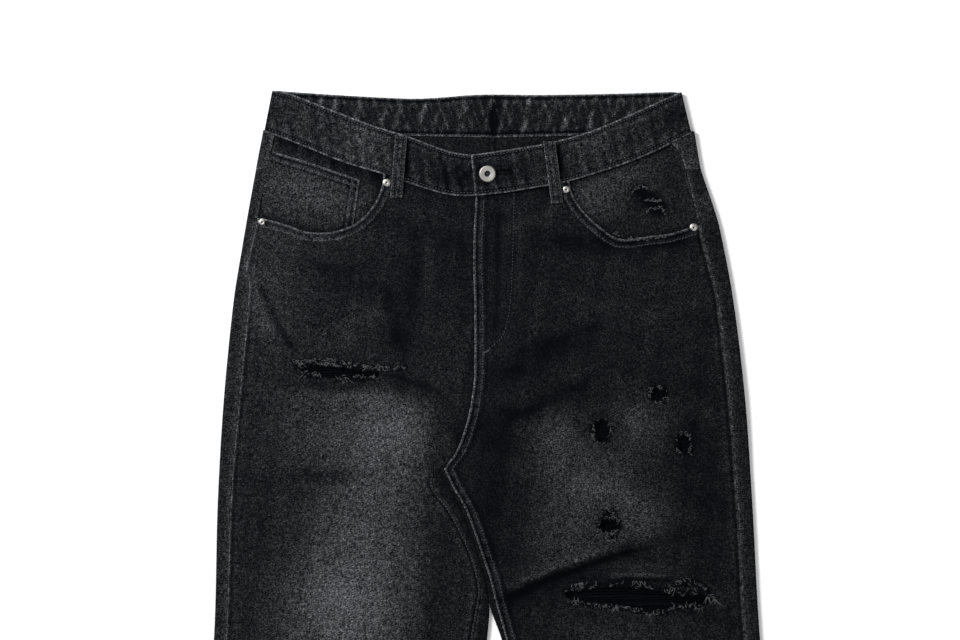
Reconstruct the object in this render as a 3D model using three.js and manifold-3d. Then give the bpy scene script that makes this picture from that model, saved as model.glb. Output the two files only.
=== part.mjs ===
// Ripped jeans laid flat, face up. Millimetres: +X right, +Y towards the waist, +Z up from the surface they
// rest on. The pattern is drafted with X from the centre front and "down" measured from the top of the waist.
import * as THREE from 'three';
import { mergeVertices } from 'three/addons/utils/BufferGeometryUtils.js';
import Module from 'manifold-3d';

const wasm = await Module();
wasm.setup();

// Driving dimensions
const DENIM = 1.2;
const BAND = 2.4;
const GAP = 0.3;
const LAYER = DENIM + GAP;
const SEAT_FROM = 300;
const SEAT_TO = 392;
const HEM = 1100;
const CROTCH = 377;
const CENTRE_BACK = 13;
const WAIST_SEAM = 0.8;
const LOOP_WIDTH = 12;
const BUTTON_RADIUS = 8.5;
const RIVET_RADIUS = 4;

// Heights of the middle of each cloth layer above the surface
const BACK_LEG = DENIM / 2;
const BACK_SEAT = BACK_LEG + LAYER;
const FACING = BACK_SEAT + LAYER;
const FRONT_SEAT = FACING + LAYER;
const FRONT_LEG = 3.8;
const BACK_BAND = LAYER + BAND / 2;
const FRONT_BAND = BACK_BAND + BAND + GAP;

// ---- small tools -------------------------------------------------------------------------------------

const mix = (a, b, t) => a + (b - a) * t;

function soft(from, to, value) {
  const t = Math.min(1, Math.max(0, (value - from) / (to - from)));
  return t * t * (3 - 2 * t);
}

// A smooth line through [down, x] knots, as a function of down
function track(knots) {
  const slopes = knots.map((knot, i) => {
    const before = knots[Math.max(0, i - 1)];
    const after = knots[Math.min(knots.length - 1, i + 1)];
    return (after[1] - before[1]) / (after[0] - before[0]);
  });
  return (down) => {
    let i = 0;
    while (i < knots.length - 2 && down > knots[i + 1][0]) i += 1;
    const span = knots[i + 1][0] - knots[i][0];
    const t = Math.min(1, Math.max(0, (down - knots[i][0]) / span));
    const bend = t * t * (3 - 2 * t);
    const leave = t * (1 - t) * (1 - t) * slopes[i] * span;
    const arrive = t * t * (t - 1) * slopes[i + 1] * span;
    return mix(knots[i][1], knots[i + 1][1], bend) + leave + arrive;
  };
}

// Nearest point of a line of [x, down] points: how far away it is, and how far
// below the line (+) or above (-)
function nearest(line, x, down) {
  let best = { distance: Infinity, below: 0, along: 0 };
  for (let i = 0; i < line.length - 1; i += 1) {
    const [ax, ad] = line[i];
    const [bx, bd] = line[i + 1];
    const length2 = (bx - ax) ** 2 + (bd - ad) ** 2;
    const t = Math.min(1, Math.max(0, ((x - ax) * (bx - ax) + (down - ad) * (bd - ad)) / length2));
    const distance = Math.hypot(x - mix(ax, bx, t), down - mix(ad, bd, t));
    if (distance < best.distance) {
      best = { distance, below: down - mix(ad, bd, t), along: (i + t) / (line.length - 1) };
    }
  }
  return best;
}

// A soft fold along a line, with its own reach above and below it, fading out at both ends
function fold(line, height, above, below) {
  return (x, down) => {
    const near = nearest(line, x, down);
    const reach = near.below > 0 ? below : above;
    const ends = soft(0, 0.2, near.along) * (1 - soft(0.8, 1, near.along));
    return height * ends * (1 - soft(0, reach, near.distance));
  };
}

// A closed wall of one thickness round a grid of [x, down, z] middle points
function wall(grid, thickness) {
  const rows = grid.length;
  const columns = grid[0].length;
  const middle = grid.map((row) => row.map(([x, down, z]) => new THREE.Vector3(x, -down, z)));
  const at = (i, j) => middle[Math.min(rows - 1, Math.max(0, i))][Math.min(columns - 1, Math.max(0, j))];
  const positions = [];
  for (const side of [1, -1]) {
    for (let i = 0; i < rows; i += 1) {
      for (let j = 0; j < columns; j += 1) {
        const across = at(i, j + 1).clone().sub(at(i, j - 1));
        const along = at(i + 1, j).clone().sub(at(i - 1, j));
        const normal = across.cross(along).normalize();
        const point = middle[i][j].clone().addScaledVector(normal, (side * thickness) / 2);
        positions.push(point.x, point.y, point.z);
      }
    }
  }
  const index = [];
  const id = (side, i, j) => side * rows * columns + i * columns + j;
  const quad = (a, b, c, d) => index.push(a, b, c, a, c, d);
  for (let i = 0; i < rows - 1; i += 1) {
    for (let j = 0; j < columns - 1; j += 1) {
      quad(id(0, i, j), id(0, i, j + 1), id(0, i + 1, j + 1), id(0, i + 1, j));
      quad(id(1, i, j), id(1, i + 1, j), id(1, i + 1, j + 1), id(1, i, j + 1));
    }
  }
  for (let j = 0; j < columns - 1; j += 1) {
    quad(id(0, 0, j), id(1, 0, j), id(1, 0, j + 1), id(0, 0, j + 1));
    quad(id(0, rows - 1, j), id(0, rows - 1, j + 1), id(1, rows - 1, j + 1), id(1, rows - 1, j));
  }
  for (let i = 0; i < rows - 1; i += 1) {
    quad(id(0, i, 0), id(0, i + 1, 0), id(1, i + 1, 0), id(1, i, 0));
    quad(id(0, i, columns - 1), id(1, i, columns - 1), id(1, i + 1, columns - 1), id(0, i + 1, columns - 1));
  }
  return outward(positions, index);
}

// A geometry whose faces point out, whichever way its grid ran
function outward(positions, index) {
  const geometry = new THREE.BufferGeometry();
  geometry.setAttribute('position', new THREE.Float32BufferAttribute(positions, 3));
  let volume = 0;
  const corner = (k) => new THREE.Vector3().fromArray(positions, index[k] * 3);
  for (let k = 0; k < index.length; k += 3) volume += corner(k).dot(corner(k + 1).cross(corner(k + 2)));
  if (volume < 0) {
    for (let k = 0; k < index.length; k += 3) {
      [index[k + 1], index[k + 2]] = [index[k + 2], index[k + 1]];
    }
  }
  geometry.setIndex(index);
  return geometry;
}

function solidOf(geometry) {
  const bare = geometry.clone();
  bare.deleteAttribute('normal');
  bare.deleteAttribute('uv');
  const merged = mergeVertices(bare, 1e-4);
  return new wasm.Manifold(new wasm.Mesh({
    numProp: 3,
    vertProperties: new Float32Array(merged.attributes.position.array),
    triVerts: new Uint32Array(merged.index.array),
  }));
}

function geometryOf(solid) {
  const mesh = solid.getMesh();
  const geometry = new THREE.BufferGeometry();
  geometry.setAttribute('position', new THREE.BufferAttribute(new Float32Array(mesh.vertProperties), 3));
  geometry.setIndex(new THREE.BufferAttribute(new Uint32Array(mesh.triVerts), 1));
  return geometry;
}

// An upright prism over a closed [x, down] outline, from one height to another
function prism(outline, low = -10, high = 30) {
  const shape = new THREE.Shape(outline.map(([x, down]) => new THREE.Vector2(x, -down)));
  const geometry = new THREE.ExtrudeGeometry(shape, { depth: high - low, bevelEnabled: false });
  return geometry.translate(0, 0, low);
}

function cut(geometry, ...outlines) {
  const tools = outlines.map((outline) => solidOf(prism(outline)));
  return geometryOf(tools.reduce((solid, tool) => solid.subtract(tool), solidOf(geometry)));
}

const keep = (geometry, outline) => geometryOf(solidOf(geometry).intersect(solidOf(prism(outline))));

// ---- the pattern's lines, [down, x] -------------------------------------------------------------------

const outline = {
  left: track([[-2, -207.5], [40, -215.7], [77, -223.7], [158, -238], [208, -246], [308, -256],
    [408, -262], [548, -266], [628, -275], [758, -288], [908, -302], [HEM, -320]]),
  right: track([[-2, 201.4], [41, 211.4], [77, 220.5], [114, 233], [137, 239.6], [208, 253], [308, 265],
    [408, 272], [548, 280], [628, 290], [758, 304], [908, 320], [HEM, 340]]),
};

const sideSeam = {
  left: track([[47, -205.3], [77, -212.5], [124, -221.5], [158, -229.3], [178, -234], [191, -230.5],
    [240, -234], [301, -240], [408, -249], [548, -254], [628, -262], [758, -275], [908, -289], [HEM, -307]]),
  right: track([[52.6, 190], [60, 197.5], [79, 205.6], [129, 217.4], [168, 227.4], [204, 236.6], [226, 239.6],
    [308, 249], [408, 257], [548, 265], [628, 275], [758, 289], [908, 305], [HEM, 325]]),
};

// The fold between the legs, from the crotch down, and the inseams on top beside it
const innerFold = {
  left: track([[377, -40.5], [393, -32.6], [415, -20.2], [439, -10.5], [467, -1], [488, 5.6], [514, 9.4],
    [548, 7], [628, -2], [758, -23], [908, -48], [HEM, -78]]),
  right: track([[377, -40.1], [393, -32.1], [415, -19.5], [439, -10], [467, -0.4], [488, 6.2], [514, 10],
    [548, 22], [628, 41], [758, 62], [908, 80], [HEM, 100]]),
};

const inseam = {
  left: track([[377, -46], [393, -47], [405, -40], [416, -31], [439, -18], [467, -6], [498, 1], [513, -1],
    [548, -7], [628, -16], [758, -37], [908, -62], [HEM, -92]]),
  right: track([[377, -36], [393, -28.5], [415, -16], [439, -6.5], [467, 3], [488, 10], [507, 14.5],
    [548, 26], [628, 46], [758, 67], [908, 86], [HEM, 107]]),
};

const flyEdge = track([[105, -4.3], [157, -6.6], [226, -5.5], [282, -5.7], [300, -7.4], [323, -11.4],
  [346, -18.3], [362, -25.2], [371, -32], [377, -36]]);

const seatSeam = track([[45, CENTRE_BACK], [120, 8], [200, 2], [280, -8], [330, -20], [360, -32],
  [377, -40.3]]);

const bandTopFront = track([[-206, -1], [-189, 2.4], [-138, 22.3], [-106, 34], [-68, 46], [-37, 57.7],
  [-20, 61.8], [-9, 63], [5, 61.4], [30, 57.7], [66, 51.7], [106, 41], [139, 27.8], [172, 12.9], [200, 0.5]]);

const bandFootFront = track([[-215.7, 40], [-202, 44.6], [-173, 55.8], [-138, 70], [-93, 83.7], [-51, 98],
  [-27, 103.6], [-7, 104], [25, 101], [50, 96.9], [84, 90.8], [139, 74], [172, 61], [189, 52.7],
  [211.4, 41]]);

const bandTopBack = track([[-207, -1], [-140, 3.5], [-70, 7], [-45, 6.2], [0, 3], [60, 3.3], [140, 2],
  [201, 0]]);

// Behind, the band's lower edge runs straight from each side to centre back
const BAND_FOOT_SIDE = 41;
const BAND_FOOT_CENTRE = 45.6;

function bandFootBack(x) {
  const reach = x < CENTRE_BACK ? CENTRE_BACK + 215.7 : 211.4 - CENTRE_BACK;
  return mix(BAND_FOOT_CENTRE, BAND_FOOT_SIDE, Math.abs(x - CENTRE_BACK) / reach);
}

const pocketMouth = {
  left: [[-96, 82], [-98.5, 97], [-106.5, 114], [-119, 128], [-132, 135.5], [-150, 140.5], [-173, 140],
    [-190, 134], [-210, 128.3], [-232, 125]],
  right: [[88.5, 88], [93, 104], [103, 119], [116, 132], [139, 147], [172, 144], [189, 142], [211, 135.6],
    [235, 130]],
};

const coinTop = [[-206, 60], [-170, 71], [-130, 84.5], [-120, 88.5]];
const coinSide = [[-120, 88.5], [-121.6, 99.6], [-124, 116], [-128, 142]];

// ---- folds that stand up from the fronts --------------------------------------------------------------

const crotchFold = fold([[-98, 283], [-71, 291.6], [-50, 297], [-29, 309], [-24, 321], [-24, 363]],
  1.6, 18, 12);

const folds = {
  left: [
    crotchFold,
    fold([[-231, 186], [-223, 198], [-209, 220], [-190, 252], [-184, 262]], 1.4, 14, 16),
    fold([[-262, 700], [-190, 722], [-120, 716], [-60, 690]], 2.4, 34, 20),
    fold([[-240, 840], [-180, 828], [-110, 846], [-60, 838]], 1.8, 28, 22),
  ],
  right: [
    crotchFold,
    fold([[10, 508], [30, 498], [54, 487], [86, 474], [126, 462], [150, 453], [189, 440], [240, 424]],
      4, 44, 16),
    fold([[105, 484], [129, 482.5], [192, 482.5], [214, 487]], 2, 12, 10),
    fold([[8, 345], [50, 300], [90, 275], [130, 250]], 1.6, 30, 26),
    fold([[300, 690], [230, 716], [150, 708], [60, 678]], 2.4, 34, 20),
    fold([[290, 850], [220, 836], [150, 852], [80, 842]], 1.8, 28, 22),
  ],
};

const coinLift = (x, down) => {
  const near = nearest(pocketMouth.left, x, down);
  return LAYER * (1 - soft(12, 44, near.distance)) * soft(-78, -108, x);
};

const flyLift = (x, down) => {
  const past = x - flyEdge(Math.min(down, CROTCH));
  const belowCrotch = 1 - soft(CROTCH, CROTCH + 60, down);
  return LAYER * (1 - soft(40, 78, past)) * belowCrotch;
};

const legLift = (x, down) => {
  const inside = x - innerFold.right(Math.max(down, CROTCH));
  return 1.8 * soft(CROTCH - 6, CROTCH + 40, down) * (1 - soft(505, 560, down)) * (1 - soft(4, 46, inside));
};

const backHeight = (down) => mix(BACK_SEAT, BACK_LEG, soft(SEAT_FROM, SEAT_TO, down));

function frontHeight(side, x, down) {
  const base = mix(FRONT_SEAT, FRONT_LEG, soft(SEAT_FROM, SEAT_TO, down));
  const raised = folds[side].reduce((sum, each) => sum + each(x, down), 0);
  const lift = side === 'right' ? flyLift(x, down) + legLift(x, down) : coinLift(x, down);
  return base + raised + lift;
}

// ---- rows down the garment: [down at the side seam, down at the centre or inseam] ----------------------

const WAIST_AT_SEAM = { left: 43.6, right: 52.6 };
const WAIST_AT_FLY = 104.4;
const hipRows = [[62, 118], [77, 131], [95, 146], [112, 160], [132, 177], [158, 199],
  [186, 222], [216, 247], [248, 274], [282, 302], [316, 330], [346, 352], [364, 366], [CROTCH, CROTCH]];
const legRows = [384, 396, 412, 428, 446, 466, 484, 501, 514, 530, 548, 590, 650, 700, 740, 800, 850, 930,
  1020, HEM].map((down) => [down, down]);
const backRows = hipRows.slice(1).concat(legRows);
const waistRow = (side) => [WAIST_AT_SEAM[side], WAIST_AT_FLY];

// ---- fronts, and the flat patches that lie under or on them -------------------------------------------

const SIDE_MARGIN = 0.06;
const FRONT_COLUMNS = [0, SIDE_MARGIN, 0.17, 0.3, 0.44, 0.58, 0.72, 0.85, 0.94, 1];

function innerEdge(side, down) {
  if (down >= CROTCH) return inseam[side](down) + (side === 'left' ? -GAP : GAP);
  if (side === 'right') return flyEdge(down);
  return flyEdge(down) + mix(12, -10.3, soft(310, CROTCH, down));
}

// Middle points of a sheet with the front's outline, between two rows, at a height of its own
function frontGrid(side, rows, height) {
  const gap = side === 'left' ? GAP / 2 : -GAP / 2;
  const waist = waistRow(side);
  return [waist, ...rows].map(([atSide, atInner]) => {
    const sideX = sideSeam[side](atSide) + gap;
    const innerX = innerEdge(side, atInner);
    const fade = 1 - soft(waist[0], 250, atSide);
    const seam = atSide === waist[0] ? WAIST_SEAM : 0;
    return FRONT_COLUMNS.map((part) => {
      const x = mix(sideX, innerX, part);
      const waistX = mix(sideSeam[side](waist[0]), innerEdge(side, waist[1]), part);
      const sag = bandFootFront(waistX) - mix(waist[0], waist[1], part);
      const down = mix(atSide, atInner, part) + sag * Math.min(1, part / SIDE_MARGIN) * fade + seam;
      return [x, down, height(x, down)];
    });
  });
}

// The ground above a pocket mouth, out past the waist seam and the side, as a closed outline
function aboveMouth(side, lower) {
  const out = side === 'left' ? -260 : 270;
  const mouth = pocketMouth[side];
  const moved = mouth.map(([x, down], i) => {
    const before = mouth[Math.max(0, i - 1)];
    const after = mouth[Math.min(mouth.length - 1, i + 1)];
    const length = Math.hypot(after[0] - before[0], after[1] - before[1]);
    const turn = side === 'left' ? 1 : -1;
    return [x + (turn * lower * (after[1] - before[1])) / length,
      down - (turn * lower * (after[0] - before[0])) / length];
  });
  return [[moved[0][0], 20], ...moved, [out, moved.at(-1)[1]], [out, 20]];
}

const ripLeft = [[-184, 277], [-176, 272.5], [-157, 273.4], [-133, 276], [-112, 278], [-101, 281],
  [-104, 285.5], [-122, 286], [-143, 286.6], [-160, 284.5], [-176, 280.5]];
const ripRight = [[84, 500], [112, 495], [163, 495], [192, 501], [224, 503], [236, 507], [222, 513],
  [198, 513], [181, 518], [160, 518], [140, 513], [117, 511], [92, 508]];
// Small holes: x, down, half width, half height
const smallHoles = [[178, 301.5, 8.5, 6], [121.5, 338.5, 8, 10], [203.5, 351.5, 6, 9], [130, 432.5, 10, 6.5]];

function holeOutline([x, down, halfWidth, halfHeight]) {
  const points = new THREE.EllipseCurve(x, down, halfWidth, halfHeight).getPoints(10).slice(0, 10);
  return points.map((point) => [point.x, point.y]);
}

function frontLeft() {
  const sheet = wall(frontGrid('left', hipRows.concat(legRows), (x, d) => frontHeight('left', x, d)), DENIM);
  return cut(sheet, aboveMouth('left', 0), ripLeft);
}

function frontRight() {
  const grid = frontGrid('right', hipRows.concat(legRows), (x, down) => frontHeight('right', x, down));
  const sheet = wall(grid, DENIM);
  return cut(sheet, aboveMouth('right', 0), ripRight, ...smallHoles.map(holeOutline));
}

const MOUTH_ROWS = 7;
const facing = (side) => keep(wall(frontGrid(side, hipRows.slice(0, MOUTH_ROWS), () => FACING), DENIM),
  aboveMouth(side, 12));

function coinPocket() {
  const sheet = wall(frontGrid('left', hipRows.slice(0, MOUTH_ROWS), () => FRONT_SEAT), DENIM);
  const ground = keep(sheet, aboveMouth('left', 7));
  return keep(ground, [...coinTop, ...coinSide.slice(1), [-140, 170], [-240, 170], [-240, 60]]);
}

// ---- where the waistband turns at each side ------------------------------------------------------------

const BAND_RADIUS = (FRONT_BAND - BACK_BAND) / 2;

function bandTurn(side, down) {
  const out = side === 'left' ? -1 : 1;
  return outline[side](down) - out * (BAND_RADIUS + BAND / 2);
}

// ---- backs and yokes: folded round the sides of the garment on to its top -----------------------------

const ARC_STEPS = 4;

// Half a turn round a folded edge, from the top layer down to the bottom one
function roll(edge, out, down, low, high) {
  const radius = (high - low) / 2;
  const centre = edge - out * (radius + DENIM / 2);
  const points = [];
  for (let k = 0; k <= ARC_STEPS; k += 1) {
    const angle = Math.PI / 2 - (Math.PI * k) / ARC_STEPS;
    points.push([centre + out * radius * Math.cos(angle), down, low + radius + radius * Math.sin(angle)]);
  }
  return points;
}

function backRow(side, [atSide, atInner]) {
  const out = side === 'left' ? -1 : 1;
  const high = frontHeight(side, sideSeam[side](atSide), atSide);
  const outer = roll(outline[side](atSide), out, atSide, backHeight(atSide), high);
  const seam = [sideSeam[side](atSide) + (out * GAP) / 2, atSide, high];
  const from = outer.at(-1);
  const folded = atInner > CROTCH;
  const inner = folded ? innerRoll(side, out, atInner) : flatEnd(side, out, atInner);
  const to = inner[0];
  const bottom = [0.08, 0.3, 0.7, 0.92].map((part) => {
    const down = mix(atSide, atInner, part);
    return [mix(from[0], to[0], part), down, backHeight(down)];
  });
  return [seam, ...outer, ...bottom, ...inner];
}

// The fold between the legs and the strip beside the inseam
function innerRoll(side, out, down) {
  const edge = innerFold[side](down);
  const high = frontHeight(side, inseam[side](down), down);
  const turn = roll(edge, -out, down, backHeight(down), high).reverse();
  return [...turn, [inseam[side](down) - out * GAP, down, high]];
}

// Above the crotch the back ends flat at the seat seam
function flatEnd(side, out, down) {
  const edge = seatSeam(down) + (out * GAP) / 2;
  const steps = ARC_STEPS + 2;
  const points = [];
  for (let k = 0; k < steps; k += 1) points.push([edge + out * (steps - 1 - k), down, backHeight(down)]);
  return points;
}

const YOKE_AT_SEAT = 120;

function backOf(side) {
  const seatDrop = YOKE_AT_SEAT - backRows[0][1];
  const rows = backRows.map(([atSide, atInner]) => {
    const down = atInner + seatDrop * (1 - soft(backRows[0][0], CROTCH, atSide));
    return backRow(side, [atSide, down]);
  });
  rows[0] = rows[0].map(([x, down, z]) => [x, down + GAP, z]);
  return wall(rows, DENIM);
}

function yokeOf(side) {
  const seams = [[WAIST_AT_SEAM[side], BAND_FOOT_CENTRE], hipRows[0], [backRows[0][0], YOKE_AT_SEAT]];
  seams[1] = [seams[1][0], (BAND_FOOT_CENTRE + YOKE_AT_SEAT) / 2];
  const rows = seams.map((row) => backRow(side, row));
  const turn = Math.abs(bandTurn(side, 40));
  rows[0] = rows[0].map(([x, , z]) => {
    const within = Math.sign(x) * Math.min(Math.abs(x), turn);
    const foot = z > FACING ? bandFootFront(within) : bandFootBack(within);
    return [x, foot + WAIST_SEAM + LAYER / 2, z];
  });
  return wall(rows, DENIM);
}

// ---- waistband ----------------------------------------------------------------------------------------

const BAND_END = 40;

// The lapped end rides over the other one, then settles on to the front
const bandHeight = (side, x) => FRONT_BAND + (side === 'right' ? (BAND + GAP) * (1 - soft(44, 92, x)) : 0);

function bandOf(side) {
  const out = side === 'left' ? -1 : 1;
  const start = side === 'left' ? BAND_END : -9;
  const footStart = side === 'left' ? BAND_END : -5;
  const topTurn = bandTurn(side, -2);
  const footTurn = bandTurn(side, 40);
  const columns = [];
  for (let k = 0; k <= 16; k += 1) {
    const topX = mix(start, topTurn, k / 16);
    const footX = mix(footStart, footTurn, k / 16);
    columns.push([[topX, bandTopFront(topX), bandHeight(side, topX)],
      [footX, bandFootFront(footX), bandHeight(side, footX)]]);
  }
  for (let k = 1; k < ARC_STEPS; k += 1) {
    const angle = Math.PI / 2 - (Math.PI * k) / ARC_STEPS;
    const z = BACK_BAND + BAND_RADIUS + BAND_RADIUS * Math.sin(angle);
    const reach = out * BAND_RADIUS * Math.cos(angle);
    const top = [topTurn + reach, bandTopFront(topTurn), z];
    columns.push([top, [footTurn + reach, bandFootFront(footTurn), z]]);
  }
  const centre = seatSeam(45) + (out * GAP) / 2;
  for (let k = 0; k <= 10; k += 1) {
    const topX = mix(topTurn, centre, k / 10);
    const footX = mix(footTurn, centre, k / 10);
    columns.push([[topX, bandTopBack(topX), BACK_BAND], [footX, bandFootBack(footX), BACK_BAND]]);
  }
  const across = (top, foot, part) => top.map((value, i) => mix(value, foot[i], part));
  return wall(columns.map(([top, foot]) => [0, 0.5, 1].map((part) => across(top, foot, part))),
    BAND);
}

const BUTTON_AT = [7.4, 82.3];
const buttonhole = [[2, 79.8], [33, 77.8], [33, 82.8], [2, 85]];

function waistbandRight() {
  return cut(bandOf('right'), buttonhole);
}

// ---- fly, pockets and loops ---------------------------------------------------------------------------

// A plain strip between two lines of [down, x], at one height
function strip(edgeA, edgeB, rows, height, thickness) {
  const point = (down, part) => [mix(edgeA(down), edgeB(down), part), down, height];
  return wall(rows.map((down) => [0, 0.5, 1].map((part) => point(down, part))),
    thickness);
}

const FLY_ROWS = [112, 160, 210, 250];
const flyShield = () => strip((d) => flyEdge(d) - 8, (d) => flyEdge(d) + 38, FLY_ROWS, FACING, DENIM);
const zip = () => strip((d) => flyEdge(d) + 12 + GAP, (d) => flyEdge(d) + 34, FLY_ROWS, FRONT_SEAT, DENIM);

function backPocket(side) {
  const out = side === 'left' ? -1 : 1;
  const centre = side === 'left' ? -112 : 114;
  const half = [[-78, 148], [78, 156], [72, 296], [4, 318], [-70, 288]];
  return prism(half.map(([x, down]) => [centre + out * x * -1, down]).reverse(), 0, DENIM);
}

// The front's highest middle point within a reach of a place
function highest(side, x, down, reach) {
  const around = [[0, 0], [reach, 0], [-reach, 0], [0, reach], [0, -reach]];
  return Math.max(...around.map(([dx, dd]) => frontHeight(side, x + dx, down + dd)));
}

// A loop over the front of the band, sewn to it at both ends
function frontLoop(topX, topDown, footX, footDown, side) {
  const steps = [0, 0.08, 0.3, 0.55, 0.74, 0.84, 1];
  const over = BAND / 2 + GAP + DENIM / 2;
  const grid = steps.map((part) => {
    const x = mix(topX, footX, part);
    const down = mix(topDown, footDown, part);
    const onBand = bandHeight(side, x) + over + 1.2 * Math.sin(Math.PI * Math.min(1, part / 0.8));
    const onFront = highest(side, x, down, LOOP_WIDTH / 2) + LAYER;
    const z = mix(onBand, onFront, soft(0.8, 1, part));
    return [-LOOP_WIDTH / 2, 0, LOOP_WIDTH / 2].map((across) => [x + across, down, Math.max(z, onFront)]);
  });
  return wall(grid, DENIM);
}

function backLoop(x) {
  const top = bandTopBack(x) + 1;
  const foot = bandFootBack(x) + 12;
  return prism([[x - 6, top], [x + 6, top], [x + 6, foot], [x - 6, foot]], 0, DENIM);
}

// ---- button and rivets --------------------------------------------------------------------------------

function button() {
  const band = bandHeight('right', BUTTON_AT[0]) + BAND / 2 + GAP;
  const lower = FRONT_BAND + BAND / 2 + GAP;
  const r = BUTTON_RADIUS;
  const profile = [[0, lower], [2, lower], [2, band], [r - 1, band], [r, band + 0.8], [r, band + 1.7],
    [r - 0.9, band + 2.5], [r - 2, band + 2.6], [r - 3, band + 2], [2.6, band + 1.8], [1.6, band + 1.2],
    [0, band + 1.1]];
  return turned(profile, BUTTON_AT);
}

function rivet(x, down, side) {
  const z = highest(side, x, down, RIVET_RADIUS) + DENIM / 2 + GAP;
  const r = RIVET_RADIUS;
  return turned([[0, z], [r, z], [r, z + 0.5], [r - 1, z + 1.1], [1.4, z + 1.3], [0, z + 1.3]], [x, down]);
}

function turned(profile, [x, down]) {
  const lathe = new THREE.LatheGeometry(profile.map(([r, z]) => new THREE.Vector2(r, z)), 20);
  return geometryOf(solidOf(lathe.rotateX(Math.PI / 2).translate(x, -down, 0)));
}

// ---- the garment --------------------------------------------------------------------------------------

const denim = (color) => new THREE.MeshStandardMaterial({ color, roughness: 0.95, metalness: 0 });
const metal = () => new THREE.MeshStandardMaterial({ color: 0xa9a9a6, roughness: 0.35, metalness: 1 });

const garment = new THREE.Group();

function add(name, geometry, material) {
  const mesh = new THREE.Mesh(geometry, material);
  mesh.name = name;
  garment.add(mesh);
}

add('front_left', frontLeft(), denim(0x2c2d30));
add('front_right', frontRight(), denim(0x242528));
for (const side of ['left', 'right']) {
  add(`back_${side}`, backOf(side), denim(0x26272a));
  add(`yoke_${side}`, yokeOf(side), denim(0x2a2b2e));
  add(`facing_${side}`, facing(side), denim(0x303135));
  add(`back_pocket_${side}`, backPocket(side), denim(0x2f3034));
}
add('waistband_left', bandOf('left'), denim(0x2e2f33));
add('waistband_right', waistbandRight(), denim(0x2e2f33));
add('coin_pocket', coinPocket(), denim(0x323338));
add('fly_shield', flyShield(), denim(0x1c1d20));
add('zip', zip(), denim(0x141416));
add('belt_loop_1', frontLoop(-78.5, 44, -83.5, 106, 'left'), denim(0x3a3b40));
add('belt_loop_2', frontLoop(69, 50, 77, 111.5, 'right'), denim(0x3a3b40));
[-118, 13, 120].forEach((x, i) => add(`belt_loop_${i + 3}`, backLoop(x), denim(0x3a3b40)));
add('button', button(), metal());
const rivetPlaces = [[-93.2, 91, 'left'], [-217.3, 130.5, 'left'], [86, 97.7, 'right'],
  [213.3, 135.6, 'right']];
rivetPlaces.forEach(([x, down, side], i) => add(`rivet_${i + 1}`, rivet(x, down, side), metal()));

const bounds = new THREE.Box3().setFromObject(garment);
garment.position.set(-(bounds.min.x + bounds.max.x) / 2, -(bounds.min.y + bounds.max.y) / 2, -bounds.min.z);

export default garment;
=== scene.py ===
import math
import random

import bmesh
import bpy
import numpy as np
from bpy.props import FloatProperty, FloatVectorProperty, IntProperty, PointerProperty
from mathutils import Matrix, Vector


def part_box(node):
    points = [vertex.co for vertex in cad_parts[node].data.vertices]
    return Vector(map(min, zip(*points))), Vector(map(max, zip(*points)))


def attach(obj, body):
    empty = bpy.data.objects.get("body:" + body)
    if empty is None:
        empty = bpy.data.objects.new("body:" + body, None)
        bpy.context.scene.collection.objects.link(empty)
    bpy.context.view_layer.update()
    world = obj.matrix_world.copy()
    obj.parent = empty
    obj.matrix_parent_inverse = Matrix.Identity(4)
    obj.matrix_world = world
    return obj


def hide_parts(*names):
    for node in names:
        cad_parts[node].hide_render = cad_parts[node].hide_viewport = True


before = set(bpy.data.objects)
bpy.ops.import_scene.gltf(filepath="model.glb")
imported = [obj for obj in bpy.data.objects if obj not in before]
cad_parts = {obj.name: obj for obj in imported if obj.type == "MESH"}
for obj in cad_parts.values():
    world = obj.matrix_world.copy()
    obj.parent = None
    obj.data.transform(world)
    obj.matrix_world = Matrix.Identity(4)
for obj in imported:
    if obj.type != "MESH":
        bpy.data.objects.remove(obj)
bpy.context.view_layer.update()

bl_info = {
    "name": "Ripped jeans, laid flat",
    "version": (1, 0, 0),
    "blender": (4, 5, 0),
    "location": "View3D > Sidebar > Jeans",
    "description": "Washed-black ripped jeans laid face up: denim panels, seams, stitches, rips and metal",
    "category": "Add Mesh",
}

SIDES = ("left", "right")
OUT = {"left": -1, "right": 1}

# ---- sizes in millimetres: x from the centre front, down from the back of the waist ---------------------

MM = 0.001
DENIM = 1.2
BAND = 2.4
GAP = 0.3
LAYER = DENIM + GAP
SEAT_FROM, SEAT_TO = 300, 392     # where the seat's extra layers end
HEM = 1100
CROTCH = 377
CENTRE_BACK = 13
BACK_LEG = DENIM / 2
BACK_SEAT = BACK_LEG + LAYER
FACING = BACK_SEAT + LAYER
FRONT_SEAT = FACING + LAYER
FRONT_LEG = 3.8
BACK_BAND = LAYER + BAND / 2
FRONT_BAND = BACK_BAND + BAND + GAP
BUTTON_AT = (7.4, 82.3)
WAIST_AT_SEAM = {"left": 43.6, "right": 52.6}
WAIST_AT_FLY = 104.4
YOKE_AT_SEAM = 77
YOKE_AT_SEAT = 120
FRAMED = 560     # the camera's frame ends a little above this, and rows are coarser below it

low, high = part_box("button")
ORIGIN_X = (low.x + high.x) / 2 / MM - BUTTON_AT[0]
ORIGIN_DOWN = (low.y + high.y) / 2 / MM + BUTTON_AT[1]


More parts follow.
